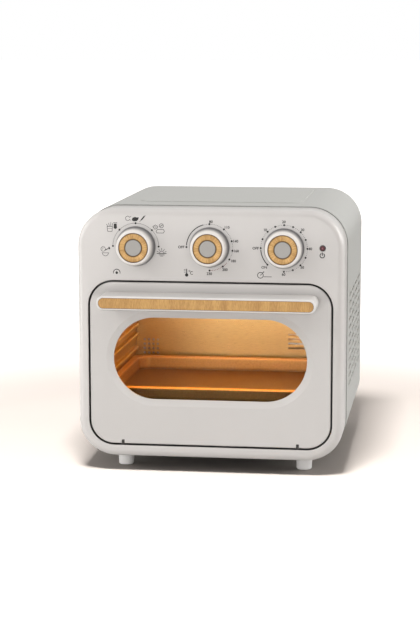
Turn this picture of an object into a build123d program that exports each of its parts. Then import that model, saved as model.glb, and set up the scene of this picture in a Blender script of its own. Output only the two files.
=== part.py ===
from build123d import *
import os
from math import cos, pi, radians, sin, sqrt

os.makedirs("parts", exist_ok=True)

# Countertop air fryer oven. Millimetres, +Z up, front towards -Y.
# The origin is under the middle of the whole oven, on the plane it stands on.

# Body
body_width = 350.0
body_height = 328.0
corner_radius = 50.0
foot_height = 20.5
frame_depth = 52.0
casing_depth = 294.0
front_roll = 10.0
opening_round = 1.0
sheet = 1.2
moulded_wall = 3.0
lip_length = 8.0
lip_wall = 2.0

# Fits
seat_gap = 0.3
seam_width = 1.2
running_clearance = 0.05
hole_clearance = 0.4

# Door
door_side_margin = 17.2
door_foot_margin = 17.6
fascia_height = 96.2
door_corner = 31.2
door_gap = 2.2
door_front_wall = 3.5
door_side_wall = 3.0
door_edge_round = 2.0
glass_thickness = 3.0
spacer_depth = 5.1
pane_overlap = 10.0
pane_corner = 24.0
window_side_margin = 31.1
window_foot_margin = 59.95
window_top_margin = 46.15
bevel_width = 9.0
bevel_depth = 2.0

# Door hinges
hinge_inset = 42.8
hinge_lug = 3.0
hinge_slot = 4.0
hinge_rise = 3.0
hinge_back = 2.2
hinge_pin_radius = 1.0
hinge_head_radius = 2.0
hinge_block_width = 22.0
hinge_leg_depth = 4.0
hinge_leg_back = 11.0
hinge_foot_length = 14.0

# Handle
handle_side_margin = 16.8
handle_height = 19.0
handle_reach = 42.5
handle_corner = 8.8
handle_drop = 22.0
handle_edge_round = 2.2
handle_rim = 2.8
strip_thickness = 3.0
strip_crown = 0.6
grip_wall = 6.0
grip_roof = 4.0
grip_end = 23.0
handle_screw_length = 16.0
screw_head_radius = 3.6
screw_head_height = 2.4
screw_radius = 1.7
screw_length = 8.0

# Dials
dial_spacing = 96.3
dial_drop = 49.2
knob_face_radius = 22.5
knob_base_radius = 26.0
knob_height = 19.0
knob_wall = 2.4
knob_stand_off = 0.9
knob_socket = 7.0
hub_radius = 6.5
ring_outer_radius = 18.9
ring_inner_radius = 11.0
ring_depth = 3.0
disc_depth = 2.0
shaft_radius = 3.0
shaft_hole = 5.0
shaft_tail = 6.5
bracket_back = 12.0
bracket_height = 50.0
bracket_margin = 20.0
bush_radius = 4.5
switch_size = 36.0
switch_depth = 20.0
thermostat_base = 9.0
thermostat_leaf = 4.0
thermostat_leaves = 4
timer_size = 50.0
timer_depth = 26.0
bell_radius = 17.0

# Indicator
lens_inset = 29.2
lens_rise = 0.9
lens_radius = 3.85
lens_proud = 1.4

# Cavity
cavity_side_margin = 25.0
cavity_rise = 35.0
services_height = 108.5
cavity_depth = 280.0
mouth_corner = 6.0
seal_thickness = 1.7
seal_width = 5.0
flange_margin = 6.0
runner_levels = 3
runner_first = 16.5
runner_pitch = 34.0
runner_gap = 8.0
rib_height = 6.0
rib_depth = 6.0
rib_margin = 14.0
cluster_inset = 22.0
cluster_rise = 62.0
cluster_pitch = 6.5
cluster_hole_radius = 2.2

# Fan and heaters
fan_back = 160.0
fan_hole_radius = 90.0
chamber_radius = 95.0
chamber_height = 42.0
chamber_flange = 8.0
chamber_corner = 8.0
impeller_radius = 64.0
impeller_hub = 9.0
impeller_drop = 6.0
impeller_blades = 10
blade_height = 16.0
blade_length = 32.0
blade_inset = 4.0
cooler_radius = 38.0
cooler_hub = 7.0
cooler_blades = 8
cooler_blade_length = 22.0
cooler_blade_height = 8.0
cooler_rise = 5.0
mount_rise = 18.0
mount_half_depth = 26.0
mount_foot = 12.0
motor_shaft_radius = 3.0
shaft_overhang = 8.0
rotor_radius = 12.6
rotor_gap = 0.4
stack_height = 20.0
stack_half_width = 28.0
stack_front = 22.0
stack_rear = 48.0
coil_leg = 15.0
coil_wall = 12.0
coil_rise = 4.0
bearing_rise = 5.0
bearing_plate = 1.5
bearing_boss = 6.0
heater_radius = 3.2
heater_ring_radius = 80.0
heater_bend = 10.0
heater_gap_deg = 16.0
heater_sink = 9.0
lower_heater_radius = 3.0
lower_heater_rise = 7.1
lower_heater_front = 66.0
lower_heater_rear = 80.0
lower_heater_overhang = 17.0
ceramic_wall = 2.6
ceramic_lip = 2.0
ceramic_length = 11.0

# Trays
rack_wire = 2.2
rack_cross_wire = 1.3
rack_wires = 11
rack_front = 32.0
rack_rear_margin = 24.0
rack_corner = 14.0
tray_depth = 18.8
tray_front = 30.0
tray_rear_margin = 18.0
tray_rim_width = 10.0
tray_corner = 16.0
tray_sheet = 1.2
tray_taper = 6.0
side_play = 1.5
crumb_depth = 3.4
crumb_margin = 4.0

# Feet and rear
foot_inset = 55.3
foot_front_back = 49.5
foot_rear_inset = 45.0
foot_top_radius = 11.0
foot_bottom_radius = 10.0
foot_spigot_radius = 4.0
foot_spigot_length = 7.0
base_front = 30.0
base_slot_length = 48.0
base_slot_width = 5.0
base_slot_pitch = 14.0
base_slots = 7
vent_cover_width = 200.0
vent_cover_height = 56.0
vent_cover_depth = 14.0
vent_cover_drop = 48.5
vent_cover_corner = 12.0
vent_cover_wall = 2.5
rear_flange = 10.0
rear_slots = 9
rear_slot_pitch = 19.0
rear_slot_length = 14.0
rear_slot_height = 4.0
rear_screw_inset = 14.0
rear_screw_margin = 75.0
gland_inset = 57.0
gland_rise = 41.5
gland_bore = 3.6
gland_wall = 3.4
gland_collar = 3.0
gland_nose = 9.0
gland_tail = 7.0

# Slots in the casing
slot_columns = 4
slot_rows = 12
slot_length = 44.0
slot_height = 4.2
slot_pitch_y = 60.0
slot_pitch_z = 10.9
slot_centre_rise = 146.5
pad_side_margin = 65.0
pad_front = 97.0
pad_rear_margin = 25.0
pad_corner = 22.0
pad_rise = 1.0

# Places worked out from the sizes above
total_depth = handle_reach + frame_depth + casing_depth + vent_cover_depth
front_y = handle_reach - total_depth / 2
body_top = foot_height + body_height
body_centre_z = foot_height + body_height / 2
body_depth = frame_depth + casing_depth
door_width = body_width - 2 * door_side_margin
door_height = body_height - door_foot_margin - fascia_height
door_bottom = foot_height + door_foot_margin
door_top = door_bottom + door_height
door_centre_z = (door_bottom + door_top) / 2
window_width = door_width - 2 * window_side_margin
window_height = door_height - window_foot_margin - window_top_margin
window_centre_z = door_bottom + window_foot_margin + window_height / 2
hinge_x = door_width / 2 - hinge_inset
hinge_z = door_bottom + hinge_rise
handle_length = door_width - 2 * handle_side_margin
handle_centre_z = door_top - handle_drop
dial_z = body_top - dial_drop
lens_x = body_width / 2 - lens_inset
lens_z = dial_z + lens_rise
bracket_width = body_width - 2 * bracket_margin
glass_outer_back = door_front_wall + seat_gap
spacer_back = glass_outer_back + glass_thickness + seat_gap
glass_inner_back = spacer_back + spacer_depth + seat_gap
pan_back = glass_inner_back + glass_thickness + seat_gap
door_back = pan_back + sheet
flange_back = door_back + seal_thickness + 2 * seat_gap
cavity_front = flange_back + sheet + seat_gap
cavity_end = flange_back + cavity_depth
cavity_width = body_width - 2 * cavity_side_margin
cavity_half = cavity_width / 2
cavity_floor_z = foot_height + cavity_rise
ceiling_z = body_top - services_height
cavity_height = ceiling_z - cavity_floor_z
cavity_centre_z = cavity_floor_z + cavity_height / 2
chamber_base = ceiling_z + sheet + seat_gap
chamber_top = chamber_base + chamber_height
rack_length = cavity_end - rack_front - rack_rear_margin
tray_length = cavity_end - tray_front - tray_rear_margin
foot_x = body_width / 2 - foot_inset
gland_x = body_width / 2 - gland_inset
gland_z = foot_height + gland_rise
vent_cover_z = body_top - vent_cover_drop
slot_centre_z = foot_height + slot_centre_rise
pad_width = body_width - 2 * pad_side_margin
pad_length = body_depth - pad_front - pad_rear_margin
dial_xs = (-dial_spacing, 0.0, dial_spacing)
levels = [cavity_floor_z + runner_first + i * runner_pitch for i in range(runner_levels)]


def back(depth):
    # the Y of a place that lies this far behind the front plane
    return front_y + depth


def slab(x_low, x_high, y_low, y_high, z_low, z_high):
    block = Box(x_high - x_low, y_high - y_low, z_high - z_low)
    return Pos((x_low + x_high) / 2, (y_low + y_high) / 2, (z_low + z_high) / 2) * block


def upright(outline, depth_low, depth_high):
    # an outline drawn in X and Z, given its thickness behind the front plane
    plane = Plane.XZ.offset(-back(depth_low))
    return extrude(plane * outline, amount=depth_low - depth_high)


def level(outline, z_low, z_high):
    return extrude(Plane.XY.offset(z_low) * outline, amount=z_high - z_low)


def body_outline(inset):
    shape = RectangleRounded(body_width - 2 * inset, body_height - 2 * inset, corner_radius - inset)
    return Pos(0, body_centre_z) * shape


def door_outline(grow):
    shape = RectangleRounded(door_width + 2 * grow, door_height + 2 * grow, door_corner + grow)
    return Pos(0, door_centre_z) * shape


def window_outline(grow):
    return Pos(0, window_centre_z) * SlotOverall(window_width + 2 * grow, window_height + 2 * grow)


def rod(radius, x, z, depth_low, depth_high):
    # a round bar that runs front to back
    return upright(Pos(x, z) * Circle(radius), depth_low, depth_high)


def post(radius, x, y, z_low, z_high):
    return level(Pos(x, y) * Circle(radius), z_low, z_high)


def along_x(radius, y, z, x_low, x_high):
    return extrude(Plane.YZ.offset(x_low) * (Pos(y, z) * Circle(radius)), amount=x_high - x_low)


def front_edges(shape):
    return shape.faces().sort_by(Axis.Y)[0].edges()


def foot_places():
    rear = body_depth - foot_rear_inset
    return [(side * foot_x, depth) for side in (-1, 1) for depth in (foot_front_back, rear)]


# Casing, frame and base

def outer_casing():
    start = frame_depth + seat_gap
    wrap = upright(body_outline(0) - body_outline(sheet), start, body_depth)
    flat_half = body_width / 2 - corner_radius
    base = slab(-flat_half, flat_half, back(start) - 1, back(body_depth) + 1,
                foot_height - 1, foot_height + sheet + 1)
    wrap -= base
    mid_depth = frame_depth + casing_depth / 2
    cutters = []
    for column in range(slot_columns):
        y = back(mid_depth) + (column - (slot_columns - 1) / 2) * slot_pitch_y
        for row in range(slot_rows):
            z = slot_centre_z + (row - (slot_rows - 1) / 2) * slot_pitch_z
            half = body_width / 2 + 1
            for x_low in (-half, half - sheet - 2):
                cutters.append(slab(x_low, x_low + sheet + 2, y - slot_length / 2, y + slot_length / 2,
                                    z - slot_height / 2, z + slot_height / 2))
    wrap -= cutters
    top = foot_height + body_height
    pad_y = back(pad_front + pad_length / 2)
    pad = level(Pos(0, pad_y) * RectangleRounded(pad_width, pad_length, pad_corner),
                top - sheet / 2, top + pad_rise)
    pad = fillet(pad.faces().sort_by(Axis.Z)[-1].edges(), pad_rise * 0.9)
    hollow = level(Pos(0, pad_y) * RectangleRounded(pad_width - 2 * sheet, pad_length - 2 * sheet,
                                                   pad_corner - sheet), top - 2 * sheet, top - sheet + pad_rise)
    return wrap + pad - hollow


def front_frame():
    shell = upright(body_outline(0), 0, frame_depth)
    shell = fillet(front_edges(shell), front_roll)
    inside = upright(body_outline(moulded_wall), moulded_wall, frame_depth + 1)
    inside = fillet(front_edges(inside), front_roll - moulded_wall)
    shell -= inside
    pocket_end = flange_back - seat_gap
    shell += upright(door_outline(door_gap + moulded_wall) - door_outline(door_gap), 0.5, pocket_end)
    shell -= upright(door_outline(door_gap), -1, pocket_end + 1)
    shell = fillet(shell.faces().sort_by(Axis.Y)[0].inner_wires()[0].edges(), opening_round)
    lip_outer = sheet + seat_gap
    shell -= upright(body_outline(-1) - body_outline(lip_outer), frame_depth - seam_width, frame_depth + 1)
    lip = upright(body_outline(lip_outer) - body_outline(lip_outer + lip_wall),
                  frame_depth - 2, frame_depth + lip_length)
    shell += lip
    flat_half = body_width / 2 - corner_radius
    shell -= slab(-flat_half, flat_half, back(base_front) - seat_gap, back(frame_depth) + 1,
                  foot_height - 1, foot_height + sheet + seat_gap)
    for x in dial_xs:
        shell -= rod(shaft_hole, x, dial_z, -1, moulded_wall + 1)
    shell -= rod(lens_radius + seat_gap, lens_x, lens_z, -1, moulded_wall + 1)
    for x in bracket_screw_xs():
        for z in bracket_screw_zs():
            boss = rod(4.0, x, z, moulded_wall - 0.5, bracket_back - seat_gap)
            shell += boss - rod(1.4, x, z, moulded_wall + 1, bracket_back)
    for x in (-hinge_x, hinge_x):
        shell -= slab(x - hinge_slot / 2, x + hinge_slot / 2, back(moulded_wall),
                      back(hinge_leg_back + hinge_leg_depth + 1),
                      foot_height + moulded_wall + front_roll - 2, door_bottom)
    for x, depth in foot_places():
        shell -= post(foot_spigot_radius + hole_clearance, x, back(depth), 0, foot_height + 12)
    return shell


def base_plate():
    half = body_width / 2 - corner_radius - seat_gap
    end = body_depth
    base = slab(-half, half, back(base_front), back(end), foot_height, foot_height + sheet)
    cutters = []
    for group in (-1, 1):
        for i in range(base_slots):
            y = back(base_front + (end - base_front) / 2) + (i - (base_slots - 1) / 2) * base_slot_pitch
            x = group * half * 0.44
            cutters.append(slab(x - base_slot_length / 2, x + base_slot_length / 2,
                                y - base_slot_width / 2, y + base_slot_width / 2,
                                foot_height - 1, foot_height + sheet + 1))
    for x, depth in foot_places():
        cutters.append(post(foot_spigot_radius + hole_clearance, x, back(depth),
                            foot_height - 1, foot_height + sheet + 1))
    return base - cutters


def feet():
    solids = []
    for x, depth in foot_places():
        top = foot_height
        profile = Polyline((0, 0), (foot_bottom_radius - 1.2, 0), (foot_bottom_radius, 1.2),
                           (foot_top_radius, top), (foot_spigot_radius, top),
                           (foot_spigot_radius, top + foot_spigot_length),
                           (0, top + foot_spigot_length), close=True)
        turned = revolve(Plane.XZ * make_face(profile), axis=Axis.Z)
        solids.append(Pos(x, back(depth), 0) * turned)
    return Compound(solids)


def rear_panel():
    inset = sheet + seat_gap
    panel = upright(body_outline(inset), body_depth - sheet, body_depth)
    panel += upright(body_outline(inset) - body_outline(inset + sheet), body_depth - rear_flange, body_depth - sheet)
    cutters = []
    heights = [vent_cover_z - vent_cover_height / 4, vent_cover_z + vent_cover_height / 4]
    heights += [cavity_centre_z + (row - 2) * 3.5 * rear_slot_height for row in range(5)]
    for i in range(rear_slots):
        x = (i - (rear_slots - 1) / 2) * rear_slot_pitch
        for z in heights:
            cutters.append(slab(x - rear_slot_length / 2, x + rear_slot_length / 2, back(body_depth - 2 * sheet),
                                back(body_depth) + 1, z - rear_slot_height / 2, z + rear_slot_height / 2))
    cutters.append(rod(gland_radius() + seat_gap, gland_x, gland_z, body_depth - 5, body_depth + 1))
    for x, z in rear_screw_places():
        cutters.append(rod(screw_radius + 0.2, x, z, body_depth - 5, body_depth + 1))
    for x in cover_screw_xs():
        cutters.append(rod(screw_radius + 0.2, x, vent_cover_z, body_depth - 5, body_depth + 1))
    return panel - cutters


def rear_vent_cover():
    outline = Pos(0, vent_cover_z) * RectangleRounded(vent_cover_width, vent_cover_height, vent_cover_corner)
    cover = upright(outline, body_depth, body_depth + vent_cover_depth)
    cover = fillet(cover.faces().sort_by(Axis.Y)[-1].edges(), 4)
    inner = Pos(0, vent_cover_z) * RectangleRounded(vent_cover_width - 2 * vent_cover_wall,
                                                    vent_cover_height - 2 * vent_cover_wall,
                                                    vent_cover_corner - vent_cover_wall)
    cover -= upright(inner, body_depth - 1, body_depth + vent_cover_depth - vent_cover_wall)
    for x in cover_screw_xs():
        cover += rod(5.0, x, vent_cover_z, body_depth, body_depth + vent_cover_depth - 2)
        cover -= rod(screw_radius - 0.2, x, vent_cover_z, body_depth - 1, body_depth + screw_length)
    cutters = []
    for i in range(7):
        for side in (-1, 1):
            x = (i - 3) * vent_cover_width / 9
            z = vent_cover_z + side * vent_cover_height / 4
            cutters.append(slab(x - rear_slot_length / 2, x + rear_slot_length / 2,
                                back(body_depth + vent_cover_depth / 3), back(body_depth + vent_cover_depth) + 1,
                                z - rear_slot_height / 2, z + rear_slot_height / 2))
    return cover - cutters


def rear_screw_places():
    half_x = body_width / 2 - rear_screw_inset
    return [(side * half_x, z) for side in (-1, 1)
            for z in (foot_height + rear_screw_margin, body_top - rear_screw_margin)]


def cover_screw_xs():
    half = vent_cover_width / 2 - rear_screw_inset
    return (-half, half)


def casing_screws():
    solids = []
    for x, z in rear_screw_places():
        head = rod(screw_head_radius, x, z, body_depth + 0.05, body_depth + screw_head_height)
        head = fillet(head.faces().sort_by(Axis.Y)[-1].edges(), 0.9)
        solids.append(head + rod(screw_radius, x, z, body_depth - screw_length, body_depth + 0.5))
    for x in cover_screw_xs():
        inside = body_depth - sheet
        shank = rod(screw_radius - 0.25, x, vent_cover_z, inside, body_depth + screw_length - 2)
        solids.append(shank + rod(screw_head_radius, x, vent_cover_z, inside - screw_head_height, inside - 0.05))
    return Compound(solids)


def gland_radius():
    return gland_bore + gland_wall


def cord_gland():
    collar = rod(gland_radius() + gland_collar, gland_x, gland_z, body_depth + 0.05, body_depth + gland_collar)
    nose = rod(gland_radius() - 1, gland_x, gland_z, body_depth + 2, body_depth + gland_nose)
    nose = fillet(nose.faces().sort_by(Axis.Y)[-1].edges(), 1.5)
    neck = rod(gland_radius(), gland_x, gland_z, body_depth - gland_tail, body_depth + 1)
    clip = rod(gland_radius() + 1.5, gland_x, gland_z, body_depth - gland_tail, body_depth - sheet - seat_gap)
    bore = rod(gland_bore, gland_x, gland_z, body_depth - gland_tail - 1, body_depth + gland_nose + 1)
    return collar + nose + neck + clip - bore


# Cavity

def cavity_front_flange():
    grow = moulded_wall + flange_margin
    outer = door_outline(door_gap + grow - 2)
    mouth = Pos(0, cavity_centre_z) * RectangleRounded(cavity_width, cavity_height, mouth_corner)
    return upright(outer - mouth, flange_back, flange_back + sheet)


def door_seal():
    start = door_back + seat_gap
    outer = RectangleRounded(cavity_width + 2 * seal_width, cavity_height + 2 * seal_width,
                             mouth_corner + seal_width)
    ring = Pos(0, cavity_centre_z) * (outer - RectangleRounded(cavity_width + 1, cavity_height + 1,
                                                               mouth_corner + 0.5))
    return upright(ring, start, start + seal_thickness)


def cavity_side(side):
    inner = side * cavity_half
    outer = side * (cavity_half + sheet)
    low, high = min(inner, outer), max(inner, outer)
    z_low, z_high = cavity_floor_z - sheet, ceiling_z + sheet
    panel = slab(low, high, back(cavity_front), back(cavity_end) + sheet, z_low, z_high)
    rib_start = back(cavity_front + rib_margin)
    rib_end = back(cavity_end - rib_margin)
    for base in levels:
        for z in (base - rib_height, base + runner_gap):
            tip = side * (cavity_half - rib_depth)
            rib = slab(min(tip, outer), max(tip, outer), rib_start, rib_end, z, z + rib_height)
            crest = rib.edges().filter_by(Axis.Y).sort_by(Axis.X)
            crest = crest[-2:] if side < 0 else crest[:2]
            rib = fillet(crest, 2.0)
            panel += rib
            root = side * (cavity_half - rib_depth + sheet)
            far = outer + side
            panel -= slab(min(root, far), max(root, far), rib_start + sheet, rib_end - sheet,
                          z + sheet, z + rib_height - sheet)
    for depth in lower_heater_depths():
        hole = along_x(ceramic_radius() + seat_gap, back(depth), lower_heater_z(), low - 1, high + 1)
        panel -= hole
    return panel


def cavity_back():
    half = cavity_half - seat_gap
    panel = slab(-half, half, back(cavity_end), back(cavity_end) + sheet,
                 cavity_floor_z - sheet, ceiling_z + sheet)
    cutters = []
    hole_z = cavity_floor_z + cluster_rise
    for column in range(4):
        for row in range(4):
            x = cluster_inset - cavity_half + (column - 1.5) * cluster_pitch
            z = hole_z + (row - 1.5) * cluster_pitch
            hole = Pos(x, z) * RegularPolygon(cluster_hole_radius, 6)
            cutters.append(upright(hole, cavity_end - 1, cavity_end + sheet + 1))
    for row in range(4):
        z = hole_z + (row + 0.2) * cluster_pitch
        right = cavity_half - 2 * cluster_inset
        cutters.append(slab(right - 5 * cluster_pitch, right, back(cavity_end) - 1, back(cavity_end) + sheet + 1,
                            z - cluster_hole_radius * 0.7, z + cluster_hole_radius * 0.7))
    return panel - cutters


def cavity_ceiling():
    half = cavity_half - seat_gap
    panel = slab(-half, half, back(cavity_front), back(cavity_end) - seat_gap, ceiling_z, ceiling_z + sheet)
    return panel - post(fan_hole_radius, 0, back(fan_back), ceiling_z - 1, ceiling_z + sheet + 1)


def cavity_floor():
    half = cavity_half - seat_gap
    return slab(-half, half, back(cavity_front), back(cavity_end) - seat_gap,
                cavity_floor_z - sheet, cavity_floor_z)


def crumb_tray():
    half = cavity_half - crumb_margin
    front, end = cavity_front + crumb_margin, cavity_end - crumb_margin
    base = cavity_floor_z + seat_gap
    tray = slab(-half, half, back(front), back(end), base, base + crumb_depth)
    tray -= slab(-half + sheet, half - sheet, back(front) + sheet, back(end) - sheet,
                 base + sheet, base + crumb_depth + 1)
    return tray


# Fan and heaters

def fan_chamber():
    r, top, c = chamber_radius, chamber_height, chamber_corner
    outer = Polyline((r + chamber_flange, 0), (r + chamber_flange, sheet), (r, sheet), (r, top - c), (r - c, top),
                     (chamber_hole(), top), (chamber_hole(), top - sheet), (r - c - sheet / 2, top - sheet),
                     (r - sheet, top - c - sheet / 2), (r - sheet, 0), close=True)
    dome = revolve(Plane.XZ * make_face(outer), axis=Axis.Z)
    dome = Pos(0, back(fan_back), chamber_base) * dome
    for x, y in heater_legs():
        dome -= post(ceramic_radius() + seat_gap, x, y, chamber_top - chamber_corner, chamber_top + 5)
    return dome


def chamber_hole():
    return motor_shaft_radius + 5


def fan_guard():
    disc = post(fan_hole_radius + 7, 0, back(fan_back), ceiling_z - seat_gap - sheet, ceiling_z - seat_gap)
    cutters = []
    for count, share in ((10, 0.27), (16, 0.47), (22, 0.67), (28, 0.87)):
        for i in range(count):
            spoke = Box(fan_hole_radius * 0.16, 5, 10)
            spoke = Rot(0, 0, 360 * i / count) * Pos(fan_hole_radius * share, 0, 0) * spoke
            cutters.append(Pos(0, back(fan_back), ceiling_z - 1) * spoke)
    return disc - cutters


def heater_legs():
    half_gap = radians(heater_gap_deg)
    r = heater_ring_radius
    bend = heater_bend
    places = []
    for side in (-1, 1):
        angle = pi / 2 + side * half_gap
        tangent = (-side * -sin(angle), -side * cos(angle))
        x = r * cos(angle) + bend * tangent[0]
        y = back(fan_back) + r * sin(angle) + bend * tangent[1]
        places.append((x, y))
    return places


def upper_heater():
    r = heater_ring_radius
    half_gap = radians(heater_gap_deg)
    bend = heater_bend
    z = chamber_base + heater_sink
    top = chamber_top + ceramic_length + 5
    centre_y = back(fan_back)
    ends = []
    for side in (-1, 1):
        angle = pi / 2 + side * half_gap
        point = Vector(r * cos(angle), centre_y + r * sin(angle), z)
        tangent = Vector(side * sin(angle), -side * cos(angle), 0)
        hub = point + Vector(0, 0, bend)
        knee = hub + tangent * bend
        middle = hub + (tangent - Vector(0, 0, 1)) * (bend / sqrt(2))
        ends.append((point, middle, knee, Vector(knee.X, knee.Y, top)))
    (p0, m0, k0, t0), (p1, m1, k1, t1) = ends
    far = Vector(0, centre_y - r, z)
    path = Line(t0, k0) + ThreePointArc(k0, m0, p0) + ThreePointArc(p0, far, p1)
    path = path + ThreePointArc(p1, m1, k1) + Line(k1, t1)
    section = Plane(origin=t0, z_dir=(0, 0, -1)) * Circle(heater_radius)
    return sweep(section, path=path)


def ceramic_radius():
    return heater_radius + ceramic_wall


def lower_heater_z():
    return cavity_floor_z + lower_heater_rise


def lower_heater_depths():
    return (cavity_front + lower_heater_front, cavity_end - lower_heater_rear)


def lower_heaters():
    reach = cavity_half + lower_heater_overhang
    z = lower_heater_z()
    return Compound([along_x(lower_heater_radius, back(depth), z, -reach, reach)
                     for depth in lower_heater_depths()])


def heater_ceramics():
    solids = []
    z = lower_heater_z()
    bore = lower_heater_radius + running_clearance
    for depth in lower_heater_depths():
        for side in (-1, 1):
            ends = sorted((side * (cavity_half - 1), side * (cavity_half + ceramic_length)))
            lip = sorted((side * (cavity_half + sheet + seat_gap), side * (cavity_half + sheet + 3)))
            body = along_x(ceramic_radius(), back(depth), z, ends[0], ends[1])
            body += along_x(ceramic_radius() + ceramic_lip, back(depth), z, lip[0], lip[1])
            solids.append(body - along_x(bore, back(depth), z, ends[0] - 1, ends[1] + 1))
    for x, y in heater_legs():
        body = post(ceramic_radius(), x, y, chamber_top - 3, chamber_top + ceramic_length - 2)
        body += post(ceramic_radius() + ceramic_lip, x, y, chamber_top + seat_gap, chamber_top + 3)
        bore = post(heater_radius + running_clearance, x, y, chamber_top - 5, chamber_top + ceramic_length)
        solids.append(body - bore)
    return Compound(solids)


def fan_impeller():
    z_top = chamber_top - impeller_drop
    y = back(fan_back)
    wheel = post(impeller_radius, 0, y, z_top - sheet, z_top)
    middle = impeller_radius - blade_inset - blade_length / 2
    for i in range(impeller_blades):
        blade = Box(blade_length, sheet, blade_height)
        blade = Rot(0, 0, 360 * i / impeller_blades) * Pos(middle, blade_inset, 0) * Rot(0, 0, 24) * blade
        wheel += Pos(0, y, z_top - sheet - blade_height / 2 + 0.2) * blade
    wheel += post(impeller_hub, 0, y, impeller_foot(), z_top + 2)
    return wheel - post(motor_shaft_radius + running_clearance, 0, y, impeller_foot() - 1, z_top + 5)


def impeller_foot():
    return chamber_top - impeller_drop - sheet - 0.75 * blade_height


def cooling_fan():
    z_low = chamber_top + cooler_rise
    y = back(fan_back)
    wheel = post(cooler_radius, 0, y, z_low, z_low + sheet)
    for i in range(cooler_blades):
        blade = Box(cooler_blade_length, sheet, cooler_blade_height)
        blade = Rot(0, 0, 360 * i / cooler_blades) * Pos(cooler_radius - cooler_blade_length / 2 - 2, 0, 0) * blade
        wheel += Pos(0, y, z_low + sheet + cooler_blade_height / 2 - 0.4) * blade
    wheel += post(cooler_hub, 0, y, z_low, z_low + sheet + cooler_blade_height)
    return wheel - post(motor_shaft_radius + running_clearance, 0, y, z_low - 2, z_low + 2 * cooler_blade_height)


def mount_z():
    return chamber_top + mount_rise


def stack_low():
    return mount_z() + sheet + bearing_rise


def motor_mount():
    z = mount_z()
    y = back(fan_back)
    leg_x = cooler_radius + cooler_hub + 1
    half = mount_half_depth
    bracket = slab(-leg_x, leg_x, y - half, y + half, z, z + sheet)
    low = chamber_top + seat_gap
    for side in (-1, 1):
        leg = sorted((side * leg_x, side * (leg_x - sheet)))
        foot = sorted((side * (leg_x - sheet), side * (leg_x + mount_foot)))
        bracket += slab(leg[0], leg[1], y - half / 2, y + half / 2, low, z + sheet)
        bracket += slab(foot[0], foot[1], y - half / 2, y + half / 2, low, low + sheet)
    return bracket - post(bearing_boss + 3, 0, y, z - 1, z + sheet + 1)


def motor_stator():
    z = stack_low()
    y = back(fan_back)
    half = stack_half_width
    stack = slab(-half, half, y - stack_front, y + stack_rear, z, z + stack_height)
    window = slab(-half + 9, half - 9, y + stack_front - 4, y + stack_rear - coil_leg,
                  z - 1, z + stack_height + 1)
    return stack - window - post(rotor_radius + rotor_gap, 0, y, z - 1, z + stack_height + 1)


def motor_coil():
    z = stack_low()
    y = back(fan_back)
    half = stack_half_width / 2
    inner = y + stack_rear - coil_leg
    coil = slab(-half, half, y + stack_front - 3, y + stack_rear + coil_wall, z - coil_rise,
                z + stack_height + coil_rise)
    coil -= slab(-half - 1, half + 1, inner - seat_gap, y + stack_rear + seat_gap, z - seat_gap,
                 z + stack_height + seat_gap)
    return fillet(coil.edges().filter_by(Axis.X).sort_by(Axis.Z)[-2:], 3)


def motor_bearings():
    y = back(fan_back)
    low = stack_low()
    high = low + stack_height
    solids = []
    reach = stack_half_width - 2
    for seat, tip, sign in ((low, mount_z() + sheet + seat_gap, -1), (high, high + bearing_rise, 1)):
        plate_low, plate_high = sorted((tip, tip - sign * bearing_plate))
        bar = slab(-reach, reach, y - 7, y + 7, plate_low, plate_high)
        for side in (-1, 1):
            ends = sorted((side * reach, side * (reach - bearing_boss)))
            span = sorted((seat + sign * 0.1, tip))
            bar += slab(ends[0], ends[1], y - 7, y + 7, span[0], span[1])
        boss = sorted((tip, seat + sign * 1.0))
        bar += post(bearing_boss, 0, y, boss[0], boss[1])
        bore = post(motor_shaft_radius + running_clearance, 0, y, boss[0] - 5, boss[1] + 5)
        solids.append(bar - bore)
    return Compound(solids)


def motor_shaft():
    top = stack_low() + stack_height + shaft_overhang
    return post(motor_shaft_radius, 0, back(fan_back), impeller_foot(), top)


def motor_rotor():
    z = stack_low()
    rotor = post(rotor_radius, 0, back(fan_back), z + 1.5, z + stack_height - 1.5)
    bore = post(motor_shaft_radius + running_clearance, 0, back(fan_back), z - 5, z + stack_height + 5)
    return rotor - bore


def thermal_cutout():
    x, y = -0.63 * chamber_radius, back(fan_back + 0.37 * chamber_radius)
    base = chamber_top + seat_gap
    return post(8, x, y, base, base + 5) + slab(x - 13, x + 13, y - 3, y + 3, base + 2, base + 3)


def terminal_block():
    base = ceiling_z + sheet + seat_gap
    y = back(cavity_end - 14)
    right = cavity_half - 30
    block = slab(right - 40, right, y - 8, y + 8, base, base + 9)
    for i in range(4):
        x = right - 35 + i * 10
        block += slab(x - 3.6, x + 3.6, y - 5, y + 5, base + 8, base + 13)
        block -= post(2, x, y, base + 7, base + 20)
    return block


# Controls

def bracket_screw_xs():
    half = dial_spacing / 2
    return (-half, half)


def bracket_screw_zs():
    return (dial_z - bracket_height / 2 + 6, dial_z + bracket_height / 2 - 6)


def control_bracket():
    plate = slab(-bracket_width / 2, bracket_width / 2, back(bracket_back), back(bracket_back) + sheet,
                 dial_z - bracket_height / 2, dial_z + bracket_height / 2)
    for x in dial_xs:
        plate -= rod(bush_radius + seat_gap, x, dial_z, bracket_back - 1, bracket_back + 3)
    plate -= rod(lens_radius + 0.4, lens_x, lens_z, bracket_back - 1, bracket_back + 3)
    for x in bracket_screw_xs():
        for z in bracket_screw_zs():
            plate -= rod(1.6, x, z, bracket_back - 1, bracket_back + 3)
    return plate


def bushed(body, x):
    body += rod(bush_radius, x, dial_z, moulded_wall + 1.5, control_back() + 1)
    bore = rod(shaft_radius + running_clearance, x, dial_z, 0, control_back() + shaft_tail + 0.5)
    return body - bore


def control_back():
    return bracket_back + sheet + seat_gap


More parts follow.
